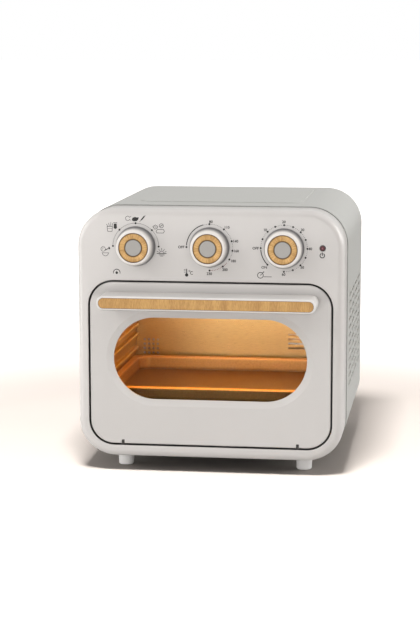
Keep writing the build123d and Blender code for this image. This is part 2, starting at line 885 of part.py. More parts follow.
def function_switch():
    x, start = dial_xs[0], control_back()
    half = switch_size / 2
    end = start + switch_depth
    body = slab(x - half, x + half, back(start), back(end), dial_z - half, dial_z + half)
    body = fillet(body.edges().filter_by(Axis.Y), half * 0.28)
    for i in range(4):
        z = dial_z + (i - 1.5) * switch_size / 5
        body += slab(x - 3, x + 3, back(end) - 1, back(end) + 10, z - 0.5, z + 0.5)
    return bushed(body, x)


def thermostat():
    x, start = dial_xs[1], control_back()
    half = switch_size * 0.42
    leaf = thermostat_leaf
    top = dial_z + half + 1.2 * leaf
    body = slab(x - half, x + half, back(start), back(start + thermostat_base), dial_z - half * 0.8, top)
    for i in range(thermostat_leaves):
        stack_y = back(start + thermostat_base) + i * leaf
        body += slab(x + half - 3 * leaf, x + half - leaf / 2, stack_y - 0.2, stack_y + leaf * 0.75,
                     top - 2.75 * leaf, top - leaf / 4)
        body += slab(x - half + 1, x + half / 2, stack_y + leaf / 4, stack_y + leaf / 2,
                     top - 2.25 * leaf, top - 0.75 * leaf)
    end = start + thermostat_base + (thermostat_leaves + 0.2) * leaf
    body += rod(leaf, x + half / 2, top - 1.5 * leaf, start + thermostat_base - 1, end)
    return bushed(body, x)


def timer():
    x, start = dial_xs[2], control_back()
    half = timer_size / 2
    end = start + timer_depth
    body = slab(x - half, x + half, back(start), back(end), dial_z - half, dial_z + half)
    body = fillet(body.edges().filter_by(Axis.Y), half * 0.24)
    bell_start = end + 4
    bell = rod(bell_radius, x, dial_z, bell_start, bell_start + 9)
    bell = fillet(bell.faces().sort_by(Axis.Y)[-1].edges(), 4)
    bell -= rod(bell_radius - 1.5, x, dial_z, bell_start - 1, bell_start + 7)
    bell += rod(3, x, dial_z, end - 1, bell_start + 8)
    return bushed(body + bell, x)


def control_shaft(x):
    start = knob_socket - knob_height - knob_stand_off
    shaft = rod(shaft_radius, x, dial_z, start, control_back() + shaft_tail)
    flat = slab(x - 4, x + 4, back(start) - 1, back(-knob_stand_off) - 1.5,
                dial_z + shaft_radius - 1.0, dial_z + shaft_radius + 1)
    return shaft - flat


def turned(profile, x):
    # a profile in radius and height is turned and stood out from the fascia
    piece = revolve(Plane.XZ * make_face(profile), axis=Axis.Z)
    return Pos(x, back(-knob_stand_off), dial_z) * Rot(90, 0, 0) * piece


def knob_body(x):
    h = knob_height
    face, base = knob_face_radius, knob_base_radius
    side = Spline((base, 0), (base - 1.6, h * 0.35), (face + 0.4, h - 2.2),
                  tangents=((-0.05, 1), (-0.25, 1)))
    rim = ThreePointArc((face + 0.4, h - 2.2), (face - 0.5, h - 0.5), (face - 2.0, h))
    seat = Polyline((face - 2.0, h), (ring_outer_radius + 0.15, h), (ring_outer_radius + 0.15, h - ring_depth),
                    (ring_inner_radius - 0.15, h - ring_depth), (ring_inner_radius - 0.15, h - ring_depth + 1),
                    (0, h - ring_depth + 1), (0, h - knob_socket), (face - 5, h - knob_socket),
                    (base - knob_wall - 1.6, 4),
                    (base - knob_wall, 0), (base, 0))
    body = turned(side + rim + seat, x)
    hub_start = knob_socket - 1 - knob_stand_off - h
    hub = rod(hub_radius, x, dial_z, hub_start, -knob_stand_off - 1.5)
    bore = rod(shaft_radius + running_clearance, x, dial_z, hub_start + 1 - seat_gap, 5)
    flat = slab(x - 4, x + 4, back(hub_start), back(-knob_stand_off) - 1.5,
                dial_z + shaft_radius - 0.9, dial_z + shaft_radius + 1)
    return body + hub - (bore - flat)


def knob_ring(x):
    h = knob_height
    r_in, r_out = ring_inner_radius, ring_outer_radius
    low = h - ring_depth + 0.05
    path = Polyline((r_in, h - 0.6), (r_in, low), (r_out, low), (r_out, h - 0.6))
    crown = ThreePointArc((r_out, h - 0.6), ((r_in + r_out) / 2, h + 0.3), (r_in, h - 0.6))
    ring = turned(path + crown, x)
    notch = slab(x - 0.5, x + 0.5, back(-knob_stand_off - h) - 2, back(-knob_stand_off - h) + 0.9,
                 dial_z + r_in + 2.0, dial_z + r_out - 1.2)
    return ring - notch


def knob_disc(x):
    h = knob_height
    low = h - ring_depth + 1.05
    path = Polyline((0, low), (ring_inner_radius - 0.25, low), (ring_inner_radius - 0.25, h - 0.6),
                    (ring_inner_radius - 0.8, h - 0.1), (0, h - 0.1), (0, low))
    return turned(path, x)


def indicator_lens():
    lens = rod(lens_radius, lens_x, lens_z, -lens_proud, moulded_wall + 2)
    lens = fillet(front_edges(lens), 1.1)
    return lens + rod(lens_radius + 1.8, lens_x, lens_z, moulded_wall + seat_gap, moulded_wall + 2)


# Door

def door_front_moulding():
    depth = pan_back - 1.8
    door = upright(door_outline(0), 0, depth)
    door = fillet(front_edges(door), door_edge_round)
    door -= upright(door_outline(-door_side_wall), door_front_wall, depth + 1)
    hole = upright(window_outline(0), -1, door_front_wall + 1)
    door -= hole
    rim = door.faces().sort_by(Axis.Y)[0].inner_wires()[0].edges()
    face = door.faces().sort_by(Axis.Y)[0]
    door = chamfer(rim, length=bevel_width, length2=bevel_depth, reference=face)
    for x in (-hinge_x, hinge_x):
        half = hinge_block_width / 2
        door += slab(x - half, x + half, back(door_front_wall) - 0.5, back(depth),
                     door_bottom + door_side_wall - 0.5, hinge_z + 6)
    for x in (-hinge_x, hinge_x):
        door -= slab(x - hinge_slot / 2, x + hinge_slot / 2, back(0) - 1, back(hinge_back + 7),
                     door_bottom - 1, hinge_z + 2.4)
        door -= along_x(hinge_head_radius + 0.5, back(hinge_back), hinge_z, x - hinge_slot / 2, x + hinge_slot / 2)
        reach = hinge_pin_half() + 0.3
        door -= along_x(hinge_pin_radius + 0.02, back(hinge_back), hinge_z, x - reach, x + reach)
    for x in handle_screw_xs():
        door -= rod(screw_radius + hole_clearance, x, handle_centre_z, -1, door_front_wall + 1)
    return door


def hinge_pin_half():
    return hinge_block_width / 2 - 2


def hinge_pins():
    half = hinge_pin_half()
    return Compound([along_x(hinge_pin_radius, back(hinge_back), hinge_z, x - half, x + half)
                     for x in (-hinge_x, hinge_x)])


def hinge_brackets():
    solids = []
    inner_floor = foot_height + moulded_wall + seat_gap
    sill_z = door_bottom - door_gap
    knee_low = sill_z - hinge_leg_depth - 0.6
    neck_front = moulded_wall + seat_gap
    for x in (-hinge_x, hinge_x):
        low, high = x - hinge_lug / 2, x + hinge_lug / 2
        lug = along_x(hinge_head_radius, back(hinge_back), hinge_z, low, high)
        lug += slab(low, high, back(hinge_back - hinge_head_radius * 0.6), back(hinge_back) + hinge_head_radius,
                    sill_z + 0.5, hinge_z)
        lug += slab(low, high, back(neck_front), back(neck_front + 2.5), knee_low, hinge_z - hinge_head_radius)
        lug += slab(low, high, back(neck_front), back(hinge_leg_back + hinge_leg_depth), knee_low, sill_z - 0.6)
        lug += slab(low, high, back(hinge_leg_back), back(hinge_leg_back + hinge_leg_depth),
                    inner_floor, sill_z - 0.6)
        lug += slab(x - hinge_foot_length * 0.64, x + hinge_foot_length * 0.64, back(hinge_leg_back),
                    back(hinge_leg_back + hinge_foot_length), inner_floor, inner_floor + 1.5)
        lug -= along_x(hinge_pin_radius + running_clearance, back(hinge_back), hinge_z, low - 1, high + 1)
        solids.append(lug)
    return Compound(solids)


def pane_outline():
    width = window_width + 2 * pane_overlap
    height = window_height + 2 * pane_overlap
    return Pos(0, window_centre_z) * RectangleRounded(width, height, pane_corner)


def window_glass_outer():
    return upright(pane_outline(), glass_outer_back, glass_outer_back + glass_thickness)


def glass_spacer():
    ring = pane_outline() - window_outline(4)
    return upright(ring, spacer_back, spacer_back + spacer_depth)


def window_glass_inner():
    return upright(pane_outline(), glass_inner_back, glass_inner_back + glass_thickness)


def door_inner_frame():
    pan = upright(door_outline(-1), pan_back, pan_back + sheet)
    pan += upright(door_outline(-1) - door_outline(-1 - sheet), pan_back - 1.5, pan_back + 0.2)
    return pan - upright(window_outline(3), pan_back - 1, pan_back + sheet + 1)


def handle_outline(inset):
    shape = RectangleRounded(handle_length - 2 * inset, handle_height - 2 * inset, handle_corner - inset)
    return Pos(0, handle_centre_z) * shape


def handle_screw_xs():
    half = handle_length / 2 - grip_end / 2
    return (-half, half)


def handle_body():
    bar = upright(handle_outline(0), -handle_reach, 0)
    bar = fillet(front_edges(bar), handle_edge_round)
    bar -= upright(handle_outline(handle_rim), -handle_reach - 1, -handle_reach + strip_thickness)
    grip_half = handle_length / 2 - grip_end
    bottom = handle_centre_z - handle_height / 2
    roof = handle_centre_z + handle_height / 2 - grip_roof
    grip = slab(-grip_half, grip_half, back(-handle_reach + grip_wall), back(0) + 1, bottom - 1, roof)
    grip = fillet(grip.edges().filter_by(Axis.X).sort_by(Axis.Z)[-2:], 3)
    bar -= grip
    for x in handle_screw_xs():
        bar -= rod(screw_radius - 0.1, x, handle_centre_z, -handle_screw_length - 2, 1)
    return bar


def handle_wood_strip():
    inset = handle_rim + 0.15
    strip = upright(handle_outline(inset), -handle_reach + 0.1, -handle_reach + strip_thickness - 0.05)
    return fillet(front_edges(strip), strip_crown)


def handle_screws():
    solids = []
    for x in handle_screw_xs():
        head = rod(screw_head_radius, x, handle_centre_z, door_front_wall + 0.05,
                   door_front_wall + screw_head_height)
        head = fillet(head.faces().sort_by(Axis.Y)[-1].edges(), 0.8)
        shank = rod(screw_radius - 0.15, x, handle_centre_z, -handle_screw_length, door_front_wall + 0.5)
        solids.append(head + shank)
    return Compound(solids)


# Rack and tray

def wire_rack():
    half = cavity_half - side_play - rack_wire
    z = levels[0] + seat_gap + rack_wire
    y_front, y_end = back(rack_front), back(rack_front + rack_length)
    loop = Plane.XY.offset(z) * (Pos(0, (y_front + y_end) / 2)
                                 * RectangleRounded(2 * half, y_end - y_front, rack_corner))
    path = loop.faces()[0].outer_wire()
    start = path.edges()[0] @ 0
    heading = path.edges()[0] % 0
    rack = sweep(Plane(origin=start, z_dir=heading) * Circle(rack_wire), path=path)
    z_cross = z + rack_wire + rack_cross_wire - 0.6
    span = half - rack_corner
    for i in range(rack_wires):
        x = -span + 2 * span * i / (rack_wires - 1)
        rack += upright(Pos(x, z_cross) * Circle(rack_cross_wire), rack_front, rack_front + rack_length)
    for share in (0.33, 0.67):
        y = y_front + (y_end - y_front) * share
        rack += along_x(rack_cross_wire + 0.2, y, z_cross - 2 * rack_cross_wire + 0.2, -half, half)
    return rack


def baking_tray():
    rim_z = levels[1] + seat_gap
    floor_z = rim_z + tray_sheet - tray_depth
    rim_half = cavity_half - side_play
    y_mid = back(tray_front + tray_length / 2)
    flare = tray_depth * sin(radians(tray_taper)) * 2
    width = 2 * (cavity_half - rib_depth - 3) - flare
    length = tray_length - 2 * tray_rim_width - flare
    outer = extrude(Plane.XY.offset(floor_z) * (Pos(0, y_mid) * RectangleRounded(width, length, tray_corner)),
                    amount=tray_depth, taper=-tray_taper)
    inner_outline = RectangleRounded(width - 2 * tray_sheet, length - 2 * tray_sheet, tray_corner - tray_sheet)
    inner = extrude(Plane.XY.offset(floor_z + tray_sheet) * (Pos(0, y_mid) * inner_outline),
                    amount=tray_depth, taper=-tray_taper)
    rim = level(Pos(0, y_mid) * RectangleRounded(2 * rim_half, tray_length, tray_corner + 6), rim_z, rim_z + tray_sheet)
    return outer + rim - inner


pieces = {
    "outer_casing": outer_casing,
    "front_frame": front_frame,
    "base_plate": base_plate,
    "feet": feet,
    "rear_panel": rear_panel,
    "rear_vent_cover": rear_vent_cover,
    "casing_screws": casing_screws,
    "cord_gland": cord_gland,
    "cavity_front_flange": cavity_front_flange,
    "door_seal": door_seal,
    "cavity_side_left": lambda: cavity_side(-1),
    "cavity_side_right": lambda: cavity_side(1),
    "cavity_back": cavity_back,
    "cavity_ceiling": cavity_ceiling,
    "cavity_floor": cavity_floor,
    "crumb_tray": crumb_tray,
    "fan_chamber": fan_chamber,
    "fan_guard": fan_guard,
    "upper_heater": upper_heater,
    "lower_heaters": lower_heaters,
    "heater_ceramics": heater_ceramics,
    "fan_impeller": fan_impeller,
    "cooling_fan": cooling_fan,
    "motor_mount": motor_mount,
    "motor_stator": motor_stator,
    "motor_coil": motor_coil,
    "motor_bearings": motor_bearings,
    "motor_shaft": motor_shaft,
    "motor_rotor": motor_rotor,
    "thermal_cutout": thermal_cutout,
    "terminal_block": terminal_block,
    "control_bracket": control_bracket,
    "function_switch": function_switch,
    "thermostat": thermostat,
    "timer": timer,
    "indicator_lens": indicator_lens,
    "door_front_moulding": door_front_moulding,
    "door_inner_frame": door_inner_frame,
    "window_glass_outer": window_glass_outer,
    "glass_spacer": glass_spacer,
    "window_glass_inner": window_glass_inner,
    "hinge_pins": hinge_pins,
    "hinge_brackets": hinge_brackets,
    "handle_body": handle_body,
    "handle_wood_strip": handle_wood_strip,
    "handle_screws": handle_screws,
    "wire_rack": wire_rack,
    "baking_tray": baking_tray,
}

for dial, x in zip(("function", "temperature", "timer"), dial_xs):
    pieces[dial + "_knob"] = lambda x=x: knob_body(x)
    pieces[dial + "_knob_ring"] = lambda x=x: knob_ring(x)
    pieces[dial + "_knob_disc"] = lambda x=x: knob_disc(x)
    pieces[dial + "_shaft"] = lambda x=x: control_shaft(x)

for name, make in pieces.items():
    export_step(make(), "parts/" + name + ".step")
    print(name)
print(len(pieces), "nodes")
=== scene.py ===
import bpy
import bmesh
import math
from mathutils import Matrix, Vector


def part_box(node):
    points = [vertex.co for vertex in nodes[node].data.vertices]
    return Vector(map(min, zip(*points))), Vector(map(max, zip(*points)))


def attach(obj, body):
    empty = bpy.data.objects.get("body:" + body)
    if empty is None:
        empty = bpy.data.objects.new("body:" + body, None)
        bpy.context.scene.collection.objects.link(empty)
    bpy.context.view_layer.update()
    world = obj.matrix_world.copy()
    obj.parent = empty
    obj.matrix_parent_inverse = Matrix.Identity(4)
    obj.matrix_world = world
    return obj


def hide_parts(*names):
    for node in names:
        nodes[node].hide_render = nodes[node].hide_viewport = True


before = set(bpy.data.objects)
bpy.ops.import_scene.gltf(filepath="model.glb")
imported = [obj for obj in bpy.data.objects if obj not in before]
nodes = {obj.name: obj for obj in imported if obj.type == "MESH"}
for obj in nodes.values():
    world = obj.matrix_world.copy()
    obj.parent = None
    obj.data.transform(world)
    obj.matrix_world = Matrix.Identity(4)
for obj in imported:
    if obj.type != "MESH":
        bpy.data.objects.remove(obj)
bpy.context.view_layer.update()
scene = bpy.context.scene
scene.view_settings.view_transform = "Standard"
mm = 0.001
print("frame loaded", len(nodes), "nodes")


# Places read from the frame

def low(node):
    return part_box(node)[0]


def high(node):
    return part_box(node)[1]


def middle(node):
    return (Vector(low(node)) + Vector(high(node))) / 2


def span(node):
    return Vector(high(node)) - Vector(low(node))


dialNames = ("function", "temperature", "timer")
dialCentres = [middle(name + "_knob") for name in dialNames]
frontY = low("front_frame")[1]
caseHalf = high("outer_casing")[0]
seamY = low("outer_casing")[1]  # where the casing meets the front frame


# Camera, as the photograph was taken

def addCamera():
    shot = {"place": (0.3322, -2.5398, 0.5794), "yaw": 7.929, "down": 8.705, "roll": 0.054, "lens": 107.43,
            "sensor": 36.0, "nearest": 0.05, "farthest": 60.0}
    data = bpy.data.cameras.new("photoCamera")
    data.lens = shot["lens"]
    data.sensor_width = shot["sensor"]
    data.clip_start = shot["nearest"]
    data.clip_end = shot["farthest"]
    camera = bpy.data.objects.new("photoCamera", data)
    scene.collection.objects.link(camera)
    camera.location = shot["place"]
    turn = Matrix.Rotation(math.radians(shot["yaw"]), 3, "Z")
    tilt = Matrix.Rotation(math.radians(90 - shot["down"]), 3, "X")
    roll = Matrix.Rotation(math.radians(-shot["roll"]), 3, "Z")
    camera.rotation_euler = (turn @ tilt @ roll).to_euler()
    scene.camera = camera


addCamera()
print("camera placed")


# Node trees: every socket is fed by a plain value, by another socket or by a node's first output

class Tree:
    def __init__(self, tree):
        self.tree = tree

    def feed(self, socket, feed):
        if isinstance(feed, bpy.types.Node):
            feed = feed.outputs[0]
        if isinstance(feed, bpy.types.NodeSocket):
            self.tree.links.new(feed, socket)
        else:
            socket.default_value = feed

    def add(self, kind, feeds=None, **settings):
        node = self.tree.nodes.new(kind)
        for key, value in settings.items():
            setattr(node, key, value)
        for socket, feed in (feeds or {}).items():
            self.feed(node.inputs[socket], feed)
        return node

    def maths(self, operation, *feeds, **settings):
        return self.add("ShaderNodeMath", dict(enumerate(feeds)), operation=operation, **settings).outputs[0]

    def vector(self, operation, *feeds):
        node = self.add("ShaderNodeVectorMath", dict(enumerate(feeds)), operation=operation)
        return node.outputs["Value" if operation in ("LENGTH", "DOT_PRODUCT") else "Vector"]

    def scaled(self, vector, amount):
        return self.add("ShaderNodeVectorMath", {0: vector, "Scale": amount}, operation="SCALE").outputs[0]

    def split(self, vector):
        return self.add("ShaderNodeSeparateXYZ", {0: vector}).outputs

    def joined(self, **feeds):
        return self.add("ShaderNodeCombineXYZ", feeds).outputs[0]

    def ranged(self, value, start, stop, least=0.0, most=1.0, smooth=False):
        style = "SMOOTHSTEP" if smooth else "LINEAR"
        feeds = dict(enumerate((value, start, stop, least, most)))
        return self.add("ShaderNodeMapRange", feeds, interpolation_type=style).outputs[0]

    def mixed(self, factor, first, second):
        return self.add("ShaderNodeMix", {0: factor, 6: first, 7: second}, data_type="RGBA").outputs[2]

    def noise(self, place, scale, detail, **feeds):
        feeds.update({"Vector": place, "Scale": scale, "Detail": detail})
        return self.add("ShaderNodeTexNoise", feeds).outputs["Fac"]


class Group(Tree):
    # a node group with named inputs, whose kinds follow from their first values
    def __init__(self, name, inputs, kind="ShaderNodeTree"):
        super().__init__(bpy.data.node_groups.new(name, kind))
        for label, value in inputs.items():
            if isinstance(value, tuple):
                socketType = "NodeSocketColor" if len(value) == 4 else "NodeSocketVector"
            else:
                socketType = {int: "NodeSocketInt", float: "NodeSocketFloat"}.get(type(value), "NodeSocketMaterial")
            socket = self.tree.interface.new_socket(label, in_out="INPUT", socket_type=socketType)
            if value is not None:
                socket.default_value = value
        self.given = self.tree.nodes.new("NodeGroupInput").outputs

    def close(self, **outputs):
        kinds = {"Color": "NodeSocketColor", "Geometry": "NodeSocketGeometry"}
        for label in outputs:
            kind = kinds.get(label, "NodeSocketFloat")
            self.tree.interface.new_socket(label, in_out="OUTPUT", socket_type=kind)
        self.add("NodeGroupOutput", outputs)
        return self.tree


# Shader node groups that several finishes share

def makeSkinGroup():
    # soft patches of colour and a fine skin, for plastic, paint and sheet
    group = Group("mouldedSkin", {"Vector": (0, 0, 0), "Patch Scale": 9.0, "Skin Scale": 900.0, "Patch Amount": 0.05,
                                  "Base": (0.6, 0.6, 0.6, 1), "Roughness": 0.4})
    given = group.given
    patch = group.noise(given["Vector"], given["Patch Scale"], 3.0, Roughness=0.5)
    skin = group.noise(given["Vector"], given["Skin Scale"], 2.0, Roughness=0.6)
    amount = group.maths("MULTIPLY_ADD", group.maths("SUBTRACT", patch, 0.5), given["Patch Amount"], 1.0)
    return group.close(Color=group.scaled(given["Base"], amount),
                       Roughness=group.maths("MULTIPLY", given["Roughness"], amount), Height=skin)


def makeLinesGroup():
    # long fine lines along one axis of the stretched vector
    group = Group("rolledLines", {"Vector": (0, 0, 0), "Stretch": (1, 1, 1), "Scale": 200.0, "Low": 0.8, "High": 1.1})
    given = group.given
    place = group.vector("MULTIPLY", given["Vector"], given["Stretch"])
    lines = group.noise(place, given["Scale"], 4.0, Roughness=0.65)
    return group.close(Shade=group.ranged(lines, 0.3, 0.7, given["Low"], given["High"]), Height=lines)


def makeWoodGroup():
    # streaks along one axis, darker pores, and broad bands where strips of wood meet
    group = Group("woodGrain", {"Vector": (0, 0, 0), "Streaks": (1, 1, 1), "Bands": (1, 1, 1),
                                "Light": (0.7, 0.4, 0.13, 1), "Dark": (0.45, 0.22, 0.06, 1), "Pore": 0.5})
    given = group.given
    along = group.vector("MULTIPLY", given["Vector"], given["Streaks"])
    across = group.vector("MULTIPLY", given["Vector"], given["Bands"])
    streak = group.noise(along, 1.0, 5.0, Roughness=0.6, Distortion=0.3)
    band = group.noise(across, 1.0, 1.5, Roughness=0.5)
    pore = group.add("ShaderNodeTexVoronoi", {"Vector": along, "Scale": 1.6}).outputs["Distance"]
    grain = group.maths("ADD", group.ranged(streak, 0.32, 0.68), group.ranged(band, 0.35, 0.65, -0.3, 0.3))
    pores = group.maths("MULTIPLY", group.ranged(pore, 0.0, 0.3, 1.0, 0.0), given["Pore"])
    shade = group.maths("ADD", grain, pores, use_clamp=True)
    return group.close(Color=group.mixed(shade, given["Light"], given["Dark"]), Height=shade)


def makeJointGroup():
    # one where a point lies in the joint round a rounded upright panel, behind its front
    group = Group("panelJoint", {"Vector": (0, 0, 0), "Centre": (0, 0, 0), "Half": (0, 0, 0), "Corner": 0.03,
                                 "Front": 0.0, "Rim": 0.001, "Inwards": 1.0})
    given = group.given
    away = group.vector("ABSOLUTE", group.vector("SUBTRACT", given["Vector"], given["Centre"]))
    core = group.vector("SUBTRACT", given["Half"], group.joined(X=given["Corner"], Z=given["Corner"]))
    over = group.vector("MAXIMUM", group.vector("SUBTRACT", away, core), (0, 0, 0))
    reach = group.vector("LENGTH", group.vector("MULTIPLY", over, (1, 0, 1)))
    inside = group.maths("SUBTRACT", given["Rim"], group.maths("SUBTRACT", reach, given["Corner"]))
    near = group.ranged(group.maths("MULTIPLY", inside, given["Inwards"]), -0.0002, 0.0002)
    depth = group.maths("SUBTRACT", group.split(given["Vector"])["Y"], given["Front"])
    return group.close(Mask=group.maths("MULTIPLY", near, group.ranged(depth, 0.0005, 0.0016)))


panelJoint = makeJointGroup()
mouldedSkin = makeSkinGroup()
rolledLines = makeLinesGroup()
woodGrain = makeWoodGroup()


# Finishes

class Finish(Tree):
    def __init__(self, name):
        self.material = bpy.data.materials.new(name)
        self.material.use_nodes = True
        super().__init__(self.material.node_tree)
        self.shader = self.tree.nodes["Principled BSDF"]
        self.coords = self.add("ShaderNodeTexCoord").outputs["Object"]

    def group(self, group, feeds):
        return self.add("ShaderNodeGroup", {"Vector": self.coords, **feeds}, node_tree=group).outputs

    def skin(self, base, roughness, scale, patch=0.05):
        return self.group(mouldedSkin, {"Base": (*base, 1), "Roughness": roughness, "Skin Scale": scale,
                                        "Patch Amount": patch})

    def lines(self, stretch, scale):
        return self.group(rolledLines, {"Stretch": stretch, "Scale": scale, "Low": 0.85, "High": 1.1})

    def bump(self, height, strength, distance=0.0002):
        return self.add("ShaderNodeBump", {"Height": height, "Strength": strength, "Distance": distance}).outputs[0]

    def close(self, **feeds):
        for label, feed in feeds.items():
            self.feed(self.shader.inputs[label.replace("_", " ")], feed)
        return self.material


def skinFinish(name, base, roughness, scale, bump, patch=0.05):
    finish = Finish(name)
    skin = finish.skin(base, roughness, scale, patch)
    return finish.close(Base_Color=skin["Color"], Roughness=skin["Roughness"], Normal=finish.bump(skin["Height"], bump))


def brushedFinish(name, base, roughness, stretch, scale, bump, metallic=1.0):
    finish = Finish(name)
    lines = finish.lines(stretch, scale)
    return finish.close(Base_Color=finish.scaled(base, lines["Shade"]),
                        Roughness=finish.maths("MULTIPLY", lines["Shade"], roughness),
                        Normal=finish.bump(lines["Height"], bump), Metallic=metallic)


def panelFinish(name, base, panel, rim, front, inwards=1.0):
    # smooth plastic with painted shadow in the joint round a rounded panel
    look = {"joint": (0.020, 0.014, 0.010, 1), "bandStart": 0.001, "bandStop": 0.013}
    finish = Finish(name)
    skin = finish.skin(base, 0.36, 1400.0)
    # near the handle's top edge the colour is darkened: painted shade where less light reaches the panel
    away = finish.maths("ABSOLUTE", finish.maths("SUBTRACT", finish.split(finish.coords)["Z"], panel["band"]))
    handleShade = finish.ranged(away, look["bandStart"], look["bandStop"], panel["shade"], 1.0, smooth=True)
    joint = finish.group(panelJoint, {"Centre": panel["centre"], "Half": panel["half"], "Corner": panel["corner"],
                                      "Front": front, "Rim": rim, "Inwards": inwards})
    # the walls of the gap take the near-black joint colour: painted shadow
    colour = finish.mixed(joint["Mask"], finish.scaled(skin["Color"], handleShade), look["joint"])
    return finish.close(Base_Color=colour, Roughness=skin["Roughness"], Normal=finish.bump(skin["Height"], 0.04),
                        Coat_Weight=0.12, Coat_Roughness=0.25)


def handleFinish():
    # the door's plastic, a little lighter, with painted shadow along its lowest edge
    look = {"base": (0.70, 0.672, 0.650), "edge": 0.0012, "shade": 0.55, "roughness": 0.32}
    finish = Finish("handlePlastic")
    skin = finish.skin(look["base"], look["roughness"], 1400.0)
    foot = low("handle_body")[2]
    paintedUnderShade = finish.ranged(finish.split(finish.coords)["Z"], foot + look["edge"] * 0.4, foot + look["edge"],
                          look["shade"], 1.0)
    return finish.close(Base_Color=finish.scaled(skin["Color"], paintedUnderShade), Normal=finish.bump(skin["Height"], 0.04),
                        Roughness=look["roughness"], Coat_Weight=0.2, Coat_Roughness=0.2)


def knobFinish():
    # cream face and rim, with painted shade on the flank that darkens it towards the fascia
    look = {"rim": (0.78, 0.74, 0.705), "shadedFlank": (0.125, 0.12, 0.126), "start": 0.0010, "stop": 0.0165}
    finish = Finish("knobPlastic")
    skin = finish.skin(look["rim"], 0.28, 1400.0)
    face = low("function_knob")[1]
    depth = finish.ranged(finish.split(finish.coords)["Y"], face + look["start"], face + look["stop"], smooth=True)
    return finish.close(Base_Color=finish.mixed(depth, skin["Color"], (*look["shadedFlank"], 1)),
                        Roughness=skin["Roughness"], Normal=finish.bump(skin["Height"], 0.03),
                        Coat_Weight=0.1, Coat_Roughness=0.2)


def dialRadius(finish):
    # distance from the middle of whichever dial the point lies on, and the two offsets
    parts = finish.split(finish.coords)
    pitch = dialCentres[1].x - dialCentres[0].x
    flat = finish.joined(X=finish.maths("WRAP", parts["X"], -pitch / 2, pitch / 2),
                         Y=finish.maths("SUBTRACT", parts["Z"], dialCentres[0].z))
    return flat, finish.vector("LENGTH", flat)


def discFinish():
    # fine rings turned round each dial's own centre, darker at the rim
    look = {"base": (0.31, 0.297, 0.278), "rings": 2600.0, "rimStart": 0.0096, "rimStop": 0.0110, "rim": 0.45}
    finish = Finish("turnedDisc")
    flat, radius = dialRadius(finish)
    rings = finish.add("ShaderNodeTexNoise", {"W": radius, "Scale": look["rings"], "Detail": 2.0},
                       noise_dimensions="1D").outputs["Fac"]
    rim = finish.ranged(radius, look["rimStart"], look["rimStop"], 1.0, look["rim"])
    return finish.close(Base_Color=finish.scaled(look["base"], rim), Metallic=0.45,
                        Roughness=finish.ranged(rings, 0.0, 1.0, 0.36, 0.50), Normal=finish.bump(rings, 0.15, 0.0001))


def ringFinish():
    # wood whose grain fans out from the dial, with a darker line along both edges
    look = {"light": (0.76, 0.47, 0.185, 1), "dark": (0.52, 0.29, 0.10, 1), "inner": 0.0110, "outer": 0.0189,
            "line": 0.0013, "edgeDarkening": 0.18, "fan": 11.0, "drift": 90.0}
    finish = Finish("ringWood")
    flat, radius = dialRadius(finish)
    place = finish.vector("ADD", finish.scaled(finish.vector("NORMALIZE", flat), look["fan"]),
                          finish.scaled(finish.coords, look["drift"]))
    wood = finish.group(woodGrain, {"Vector": place, "Streaks": (1, 1, 1), "Bands": (0.12, 0.12, 0.12), "Pore": 0.3,
                                    "Light": look["light"], "Dark": look["dark"]})
    edges = [finish.ranged(radius, at + sign * 0.0001, at + sign * look["line"], look["edgeDarkening"], 1.0)
             for at, sign in ((look["inner"], 1), (look["outer"], -1))]
    return finish.close(Base_Color=finish.scaled(wood["Color"], finish.maths("MULTIPLY", *edges)),
                        Normal=finish.bump(wood["Height"], 0.25), Roughness=0.5, Specular_IOR_Level=0.35)


def stripFinish():
    # the handle's strip: long streaks, and broad bands where lengths of wood meet
    look = {"light": (0.64, 0.375, 0.130, 1), "dark": (0.44, 0.23, 0.07, 1), "streaks": (1100, 200, 160),
            "bands": (70, 5, 6), "pore": 0.35}
    finish = Finish("stripWood")
    wood = finish.group(woodGrain, {"Streaks": look["streaks"], "Bands": look["bands"], "Pore": look["pore"],
                                    "Light": look["light"], "Dark": look["dark"]})
    return finish.close(Base_Color=wood["Color"], Normal=finish.bump(wood["Height"], 0.25),
                        Roughness=0.5, Specular_IOR_Level=0.35)


def casingFinish():
    # powder paint, with rows of small pressed dimples between the side slots, drawn as bump and painted shade
    look = {"base": (0.440, 0.438, 0.416), "pitch": 0.00545, "field": (("Y", 0.04, 0.125), ("Z", 0.167, 0.070)),
            "skin": 0.0006, "shade": 0.26, "dent": 6.0, "seamShadow": 0.75, "foldStart": 0.0003, "foldStop": 0.0009}
    finish = Finish("casingPaint")
    skin = finish.skin(look["base"], 0.42, 2600.0, 0.04)
    parts = finish.split(finish.coords)
    waves = [finish.maths("COSINE", finish.maths("MULTIPLY", parts[axis], math.pi / look["pitch"])) for axis in "YZ"]
    dimples = finish.ranged(finish.maths("MULTIPLY", *waves), 0.35, 0.85, smooth=True)
    for axis, centre, half in look["field"]:
        away = finish.maths("ABSOLUTE", finish.maths("SUBTRACT", parts[axis], centre))
        dimples = finish.maths("MULTIPLY", dimples, finish.maths("LESS_THAN", away, half))
    outer = finish.maths("GREATER_THAN", finish.maths("ABSOLUTE", parts["X"]), caseHalf - look["skin"])
    dimples = finish.maths("MULTIPLY", dimples, outer)
    # the dimples darken the paint: painted shade in the dents
    shade = finish.maths("MULTIPLY_ADD", dimples, -look["shade"], 1.0)
    # painted shadow darkens the folded front edge at the seam
    seamShadow = finish.ranged(parts["Y"], seamY + look["foldStart"], seamY + look["foldStop"], look["seamShadow"], 1.0)
    dent = finish.maths("MULTIPLY_ADD", dimples, -look["dent"], skin["Height"])
    return finish.close(Base_Color=finish.scaled(skin["Color"], finish.maths("MULTIPLY", shade, seamShadow)),
                        Roughness=skin["Roughness"], Normal=finish.bump(dent, 0.12))


